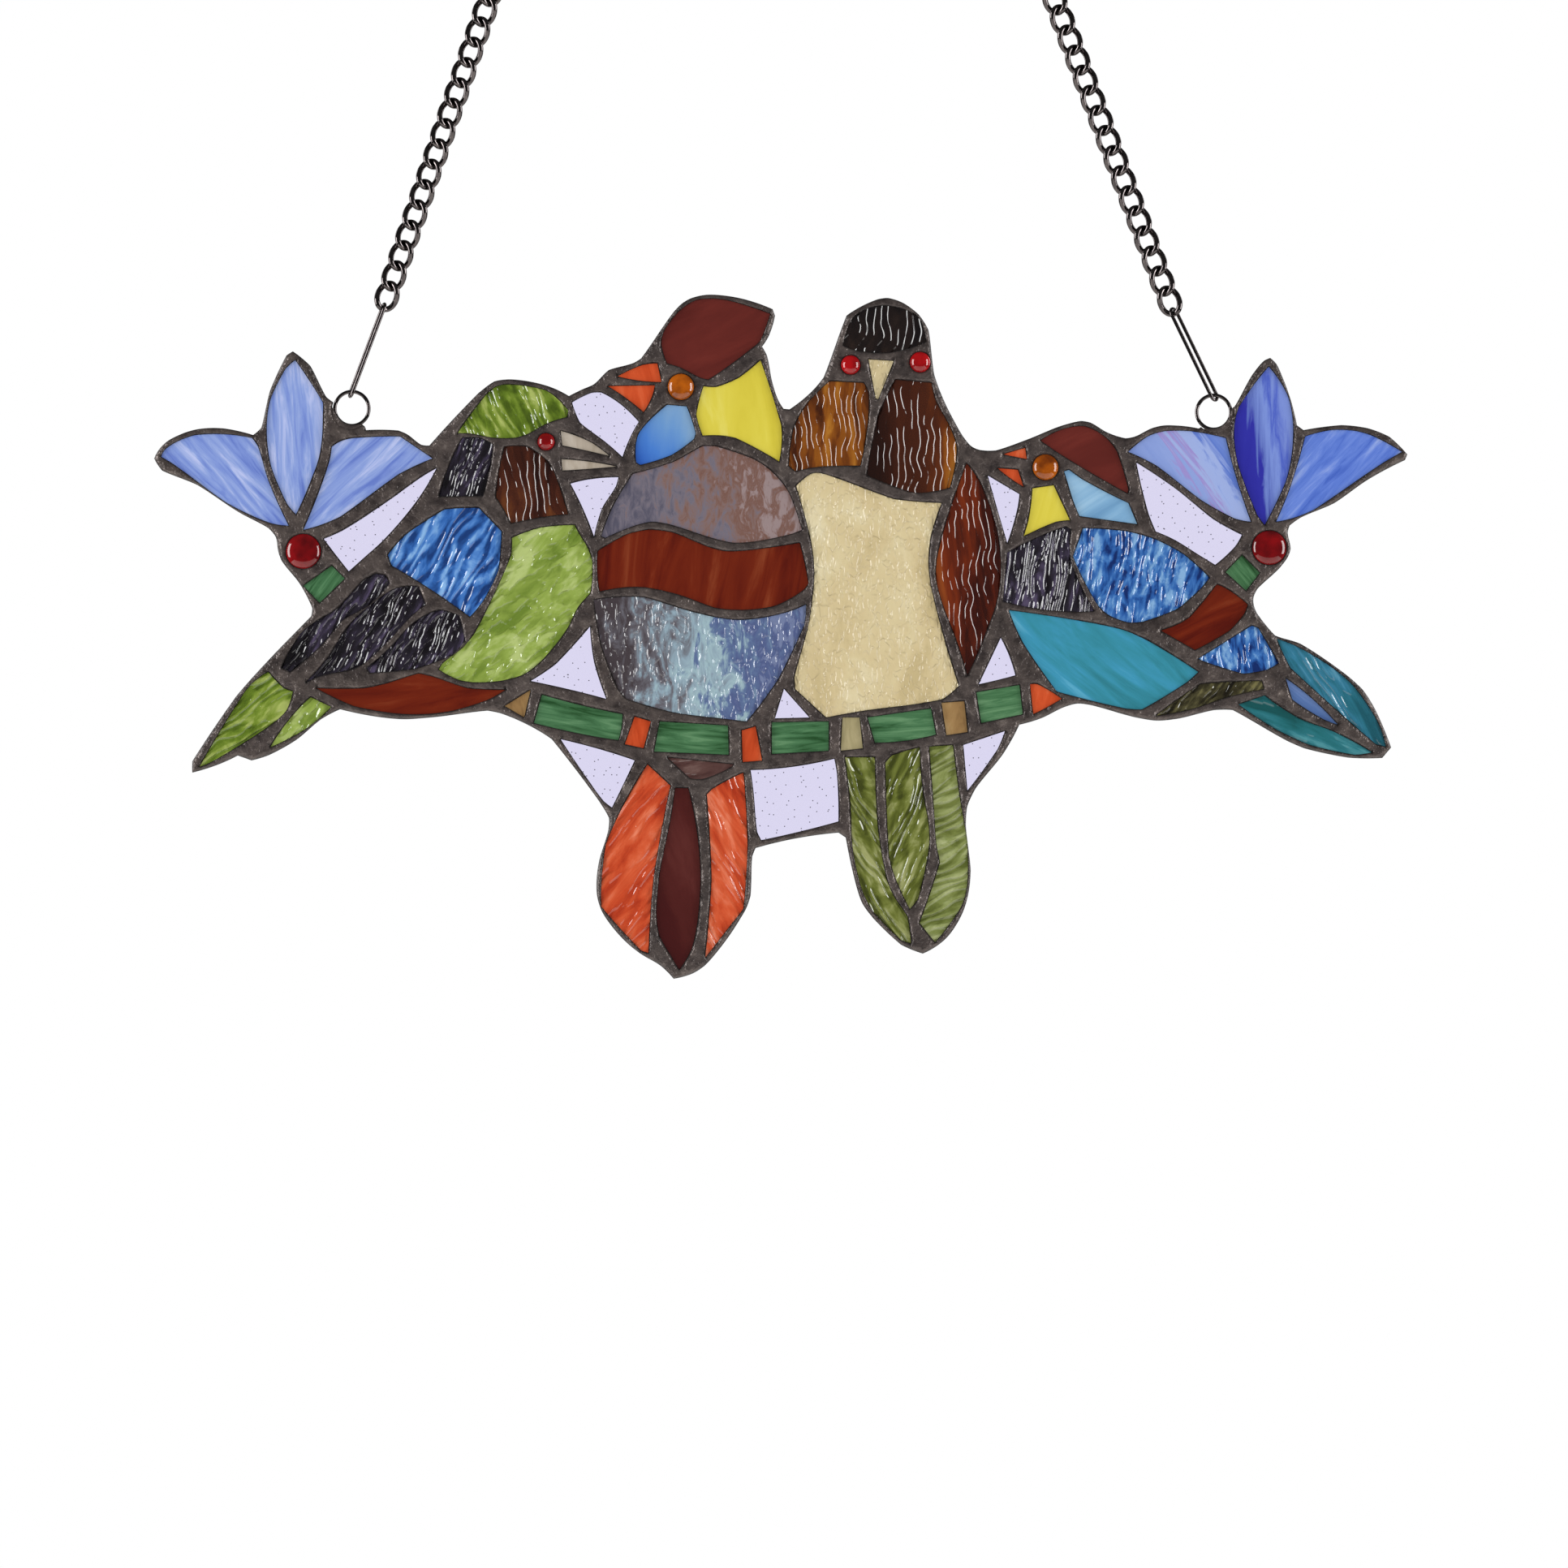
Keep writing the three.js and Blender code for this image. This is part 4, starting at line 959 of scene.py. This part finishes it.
def panel_outlines(slots):
    """The panel's outer edge, and the outline of each window by the name of the glass in it. A gem's is a
    circle, a small tile's is the loop that holds its pixel, and any other's is the loop at its CAD node."""
    loops = front_loops()
    areas = [abs(signed_area(loop)) for loop in loops]
    edge = smooth_outline(loops.pop(int(np.argmax(areas))), EDGE_STEP)
    windows = {}
    for name, (_, centre, radius) in GEMS.items():
        turn = np.linspace(0, 2 * math.pi, max(24, int(radius * 2.4)), endpoint=False)
        circle = np.stack([np.cos(turn), np.sin(turn)], axis=1) * radius * PIXEL
        windows[name] = place(centre) + circle
        loops = [loop for loop in loops if not inside(place(centre)[None, :], loop)[0]]
    for name, (_, pixel) in SMALL_TILES.items():
        held = [loop for loop in loops if inside(place(pixel)[None, :], loop)[0]]
        if len(held) != 1:
            raise ValueError(f"{name} lies in {len(held)} windows")
        windows[name] = smooth_outline(held[0], EDGE_STEP)
    centres = np.array([(loop.min(axis=0) + loop.max(axis=0)) / 2 for loop in loops])
    for name in slots:
        low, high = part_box(name)
        middle = np.array([(low.x + high.x) / 2, (low.z + high.z) / 2])
        nearest = int(np.argmin(np.linalg.norm(centres - middle, axis=1)))
        windows[name] = smooth_outline(loops[nearest], EDGE_STEP)
    return edge, windows


def build_leadwork(edge, windows, solder):
    """The soldered web, a little lower at the back."""
    places, faces, rings, height, painted_shade_mask = leadwork_surface(edge, list(windows.values()))
    points, solid = two_sided(places, faces, rings, -height, BACK_SHARE * height)
    web = make_mesh("leadwork_solder", points, solid)
    # The mask for the painted shade beside the seams, on the front and the back.
    web.data.attributes.new("painted_shade_mask", "FLOAT", "POINT").data.foreach_set("value", np.tile(painted_shade_mask, 2))
    finish_piece(web, solder, "leadwork", "leadwork")


def sheet_of(name, slot, sheets):
    """The material, ripple and lean of a tile's glass. Tiles of like glass and lean share a material."""
    if slot == "clear":
        if slot not in sheets:
            sheets[slot] = clear_material()
        return sheets[slot], CLEAR_RIPPLE, 0
    finish, angle = TILES.get(name, (slot, 0))
    sweep = SWEEPS.get(name)
    if sweep:
        finish = sweep.finish
    key = name + "_sheet" if sweep else f"{finish}_{angle}"
    if key not in sheets:
        sheets[key] = glass_material(key, finish, angle, sweep)
    return sheets[key], FINISHES[finish].ripple, math.radians(angle)


def build_tiles(slots, windows):
    """The tiles, each with a relief of its own."""
    sheets = {}
    for seed, name in enumerate(sorted(set(windows) - set(GEMS))):
        node = name if name in slots else "leadwork"
        slot = slots.get(name) or SMALL_TILES[name][0]
        material, ripple, lean = sheet_of(name, slot, sheets)
        places, faces, rings, height = tile_surface(windows[name], ripple, lean, seed)
        points, solid = two_sided(places, faces, rings, -height, np.full(len(places), GLASS_HALF))
        finish_piece(make_mesh(name + "_glass", points, solid, TILE_EDGE), material, slot, node)


def build_gems():
    """The eyes and the middles of the blossoms. Red eyes are paler than the blossoms' deep gems."""
    gems = {
        "red_gem": gem_material("red_gem", (80, 2, 6), (124, 6, 12)),
        "red_eye": gem_material("red_eye", (112, 4, 8), (164, 10, 16)),
        "amber_gem": gem_material("amber_gem", (104, 44, 2), (176, 88, 8)),
    }
    for name, (slot, centre, radius) in GEMS.items():
        points, faces = gem_surface(place(centre), radius * PIXEL + GEM_SEAT)
        key = "red_eye" if slot == "red_gem" and radius < LARGE_GEM else slot
        finish_piece(make_mesh(name + "_gem", points, faces), gems[key], slot, "leadwork")


def build_panel(solder):
    """The web, the tiles and the gems."""
    slots = {
        row["node"]: row["material_slot"] for row in frame["record"]["subparts"]
        if row["material_slot"] in [*FINISHES, "clear"]}
    edge, windows = panel_outlines(slots)
    build_leadwork(edge, windows, solder)
    build_tiles(slots, windows)
    build_gems()


# Each hanger: last link's pixel, lean of the chain, swing of its links, turn of the hook, and the arc of its
# ring that is bedded in solder.
Hanger = namedtuple("Hanger", "last lean swing turn arc")
HANGERS = {
    "left": Hanger((477, 365), 0.33, -1, 0.28, (3.1, 5.3)),
    "right": Hanger((1441, 371), -0.364, 1, -0.64, (4.2, 6.5)),
}


def build_ring(side, centre, arc, wire, solder):
    """The ring on the panel, and the solder along its arc, fullest in the middle as the root of a sine."""
    points, faces = tube(circle_path(RING_RADIUS, RING_STEPS) + centre, RING_WIRE, WIRE_SIDES)
    ring = make_mesh(f"{side}_ring_wire", points, faces)
    finish_piece(ring, wire, "black_nickel", f"{side}_soldered_ring")
    bed = circle_path(RING_RADIUS + BED_OUT, BED_STEPS, *arc, endpoint=True)
    share = np.sin(np.linspace(0, math.pi, BED_STEPS))
    girth = BED_GIRTH + BED_SWELL * np.sqrt(np.maximum(share, 0))
    points, faces = tube(bed, girth, BED_SIDES, closed=False)
    points = points * (1, BED_DEPTH, 1) + centre
    finish_piece(make_mesh(f"{side}_ring_solder", points, faces), solder, "leadwork", "leadwork")


def build_hook(side, foot, head, turn, wire):
    """The long wire hook between the ring and the chain, turned about its own length."""
    reach = head - foot
    loop = long_loop_path(float(np.linalg.norm(reach)), HOOK_HALF_WIDTH)
    loop = np.stack([-loop[:, 1] * math.sin(turn), loop[:, 1] * math.cos(turn), loop[:, 2]], axis=1)
    path = leaned(loop, math.atan2(reach[0], reach[2]), (foot + head) / 2)
    points, faces = tube(path, HOOK_WIRE, WIRE_SIDES)
    finish_piece(make_mesh(f"{side}_hook_wire", points, faces), wire, "black_nickel", f"{side}_hook")


def build_chain(side, last, lean, swing, wire):
    """The curb chain, from its last link up."""
    link, quads = tube(link_path(swing * LINK_TWIST), LINK_WIRE, WIRE_SIDES)
    points = [leaned(link + (0, 0, i * LINK_PITCH), lean, last) for i in range(LINKS)]
    faces = [quad for i in range(LINKS) for quad in (np.array(quads) + i * len(link)).tolist()]
    chain = make_mesh(f"{side}_curb_chain", np.concatenate(points), faces)
    finish_piece(chain, wire, "black_nickel", f"{side}_chain")


def build_top_ring(side, centre, lean, wire):
    """The ring that hangs on a hook or nail, in the YZ plane, so that it goes through the top link."""
    circle = circle_path(TOP_RING_RADIUS, RING_STEPS)
    circle = np.stack([0 * circle[:, 0], circle[:, 0], circle[:, 2]], axis=1)
    points, faces = tube(leaned(circle, lean, centre), TOP_RING_WIRE, WIRE_SIDES)
    ring = make_mesh(f"{side}_top_ring_wire", points, faces)
    finish_piece(ring, wire, "black_nickel", f"{side}_top_ring")


def middle_of(node):
    """The middle of a CAD node's box."""
    low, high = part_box(node)
    return np.array((low + high) / 2)


def build_hangers(solder):
    """Both hangers, from the rings on the panel up to the top rings."""
    wire = wire_material()
    for side, hanger in HANGERS.items():
        ring_centre = middle_of(f"{side}_soldered_ring")
        x, z = place(hanger.last)
        last = np.array([x, 0, z])
        up = np.array([math.sin(hanger.lean), 0, math.cos(hanger.lean)])
        foot = ring_centre + (0, 0, RING_RADIUS)
        build_ring(side, ring_centre, hanger.arc, wire, solder)
        build_hook(side, foot, last - up * LINK_HALF_LENGTH, hanger.turn, wire)
        build_chain(side, last, hanger.lean, hanger.swing, wire)
        build_top_ring(side, middle_of(f"{side}_top_ring"), hanger.lean, wire)


# The stage

FLOOR_HALF = 1.4
FLOOR_HEIGHT = -1.2
# The soft boxes: place, width and radiance. They stand to the sides, so that the glass shows them only on
# steep slopes.
BOX_HEIGHT = 1.6
BOX_AIM = (0, 0, -0.3)
SOFT_BOXES = {
    "left_front_box": ((-1.9, -0.6, -0.1), 0.8, 8.0),
    "right_front_box": ((1.9, -0.62, -0.15), 0.8, 7.4),
    "left_back_box": ((-1.5, 1.2, 0.1), 0.62, 2.6),
    "right_back_box": ((1.5, 1.2, 0.1), 0.62, 2.6),
}
# The surround's strength where it lights a surface, and where it is mirrored.
SURROUND_LIT = 0.62
SURROUND_MIRRORED = 0.08


def build_floor():
    """A plain pale floor well below the panel."""
    corners = ((-1, -1), (1, -1), (1, 1), (-1, 1))
    points = [[x * FLOOR_HALF, y * FLOOR_HALF, FLOOR_HEIGHT] for x, y in corners]
    floor = make_mesh("floor", points, [[0, 1, 2, 3]])
    material, _, shader = new_material("pale_floor")
    shader.inputs["Base Color"].default_value = linear((236, 234, 230))
    shader.inputs["Roughness"].default_value = 0.8
    floor.data.materials.append(material)


def build_surround():
    """A surround that the camera sees as white, also through the clear glass. It lights less than it shows,
    and gloss mirrors it as dark."""
    world = bpy.data.worlds.new("surround")
    world.use_nodes = True
    tree = world.node_tree
    background = tree.nodes["Background"]
    background.inputs["Color"].default_value = (1, 1, 1, 1)
    seen = add(tree, "ShaderNodeLightPath")
    lighting = add(tree, "ShaderNodeMapRange", {"To Min": SURROUND_LIT, "To Max": SURROUND_MIRRORED})
    tree.links.new(seen.outputs["Is Glossy Ray"], lighting.inputs[0])
    strength = lighting.outputs[0]
    for ray in ("Is Camera Ray", "Is Transmission Ray"):
        brighter = add(tree, "ShaderNodeMath", operation="MAXIMUM")
        tree.links.new(strength, brighter.inputs[0])
        tree.links.new(seen.outputs[ray], brighter.inputs[1])
        strength = brighter.outputs[0]
    tree.links.new(strength, background.inputs["Strength"])
    bpy.context.scene.world = world
    bpy.context.scene.view_settings.view_transform = "Standard"


def build_lights():
    """Four soft boxes turned to the panel, with a power of pi times their radiance and area."""
    for name, (spot, width, radiance) in SOFT_BOXES.items():
        light = bpy.data.lights.new(name, "AREA")
        light.shape = "RECTANGLE"
        light.size, light.size_y = width, BOX_HEIGHT
        light.energy = radiance * math.pi * light.size * light.size_y
        lamp = bpy.data.objects.new(name, light)
        lamp.location = spot
        aim = np.array(BOX_AIM) - np.array(spot)
        lamp.rotation_euler = (
            math.atan2(math.hypot(aim[0], aim[1]), -aim[2]), 0, math.atan2(aim[1], aim[0]) - math.pi / 2)
        bpy.context.scene.collection.objects.link(lamp)


def build_camera():
    """The camera at the photograph's angle: level, square to the panel, and as wide as the photograph."""
    camera = bpy.data.cameras.new("camera")
    camera.sensor_width = SENSOR / MILLIMETRE
    camera.lens = camera.sensor_width * CAMERA_DISTANCE / (IMAGE_PIXELS * PIXEL)
    camera.clip_end = 20
    viewer = bpy.data.objects.new("camera", camera)
    x, z = place((IMAGE_PIXELS / 2, IMAGE_PIXELS / 2))
    viewer.location = (x, -CAMERA_DISTANCE, z)
    viewer.rotation_euler = (math.pi / 2, 0, 0)
    bpy.context.scene.collection.objects.link(viewer)
    bpy.context.scene.camera = viewer


build_floor()
build_surround()
build_lights()
build_camera()
build_panel(solder_material("seam_solder_with_painted_shade", True))
build_hangers(solder_material("ring_solder", False))

bpy.context.view_layer.update()
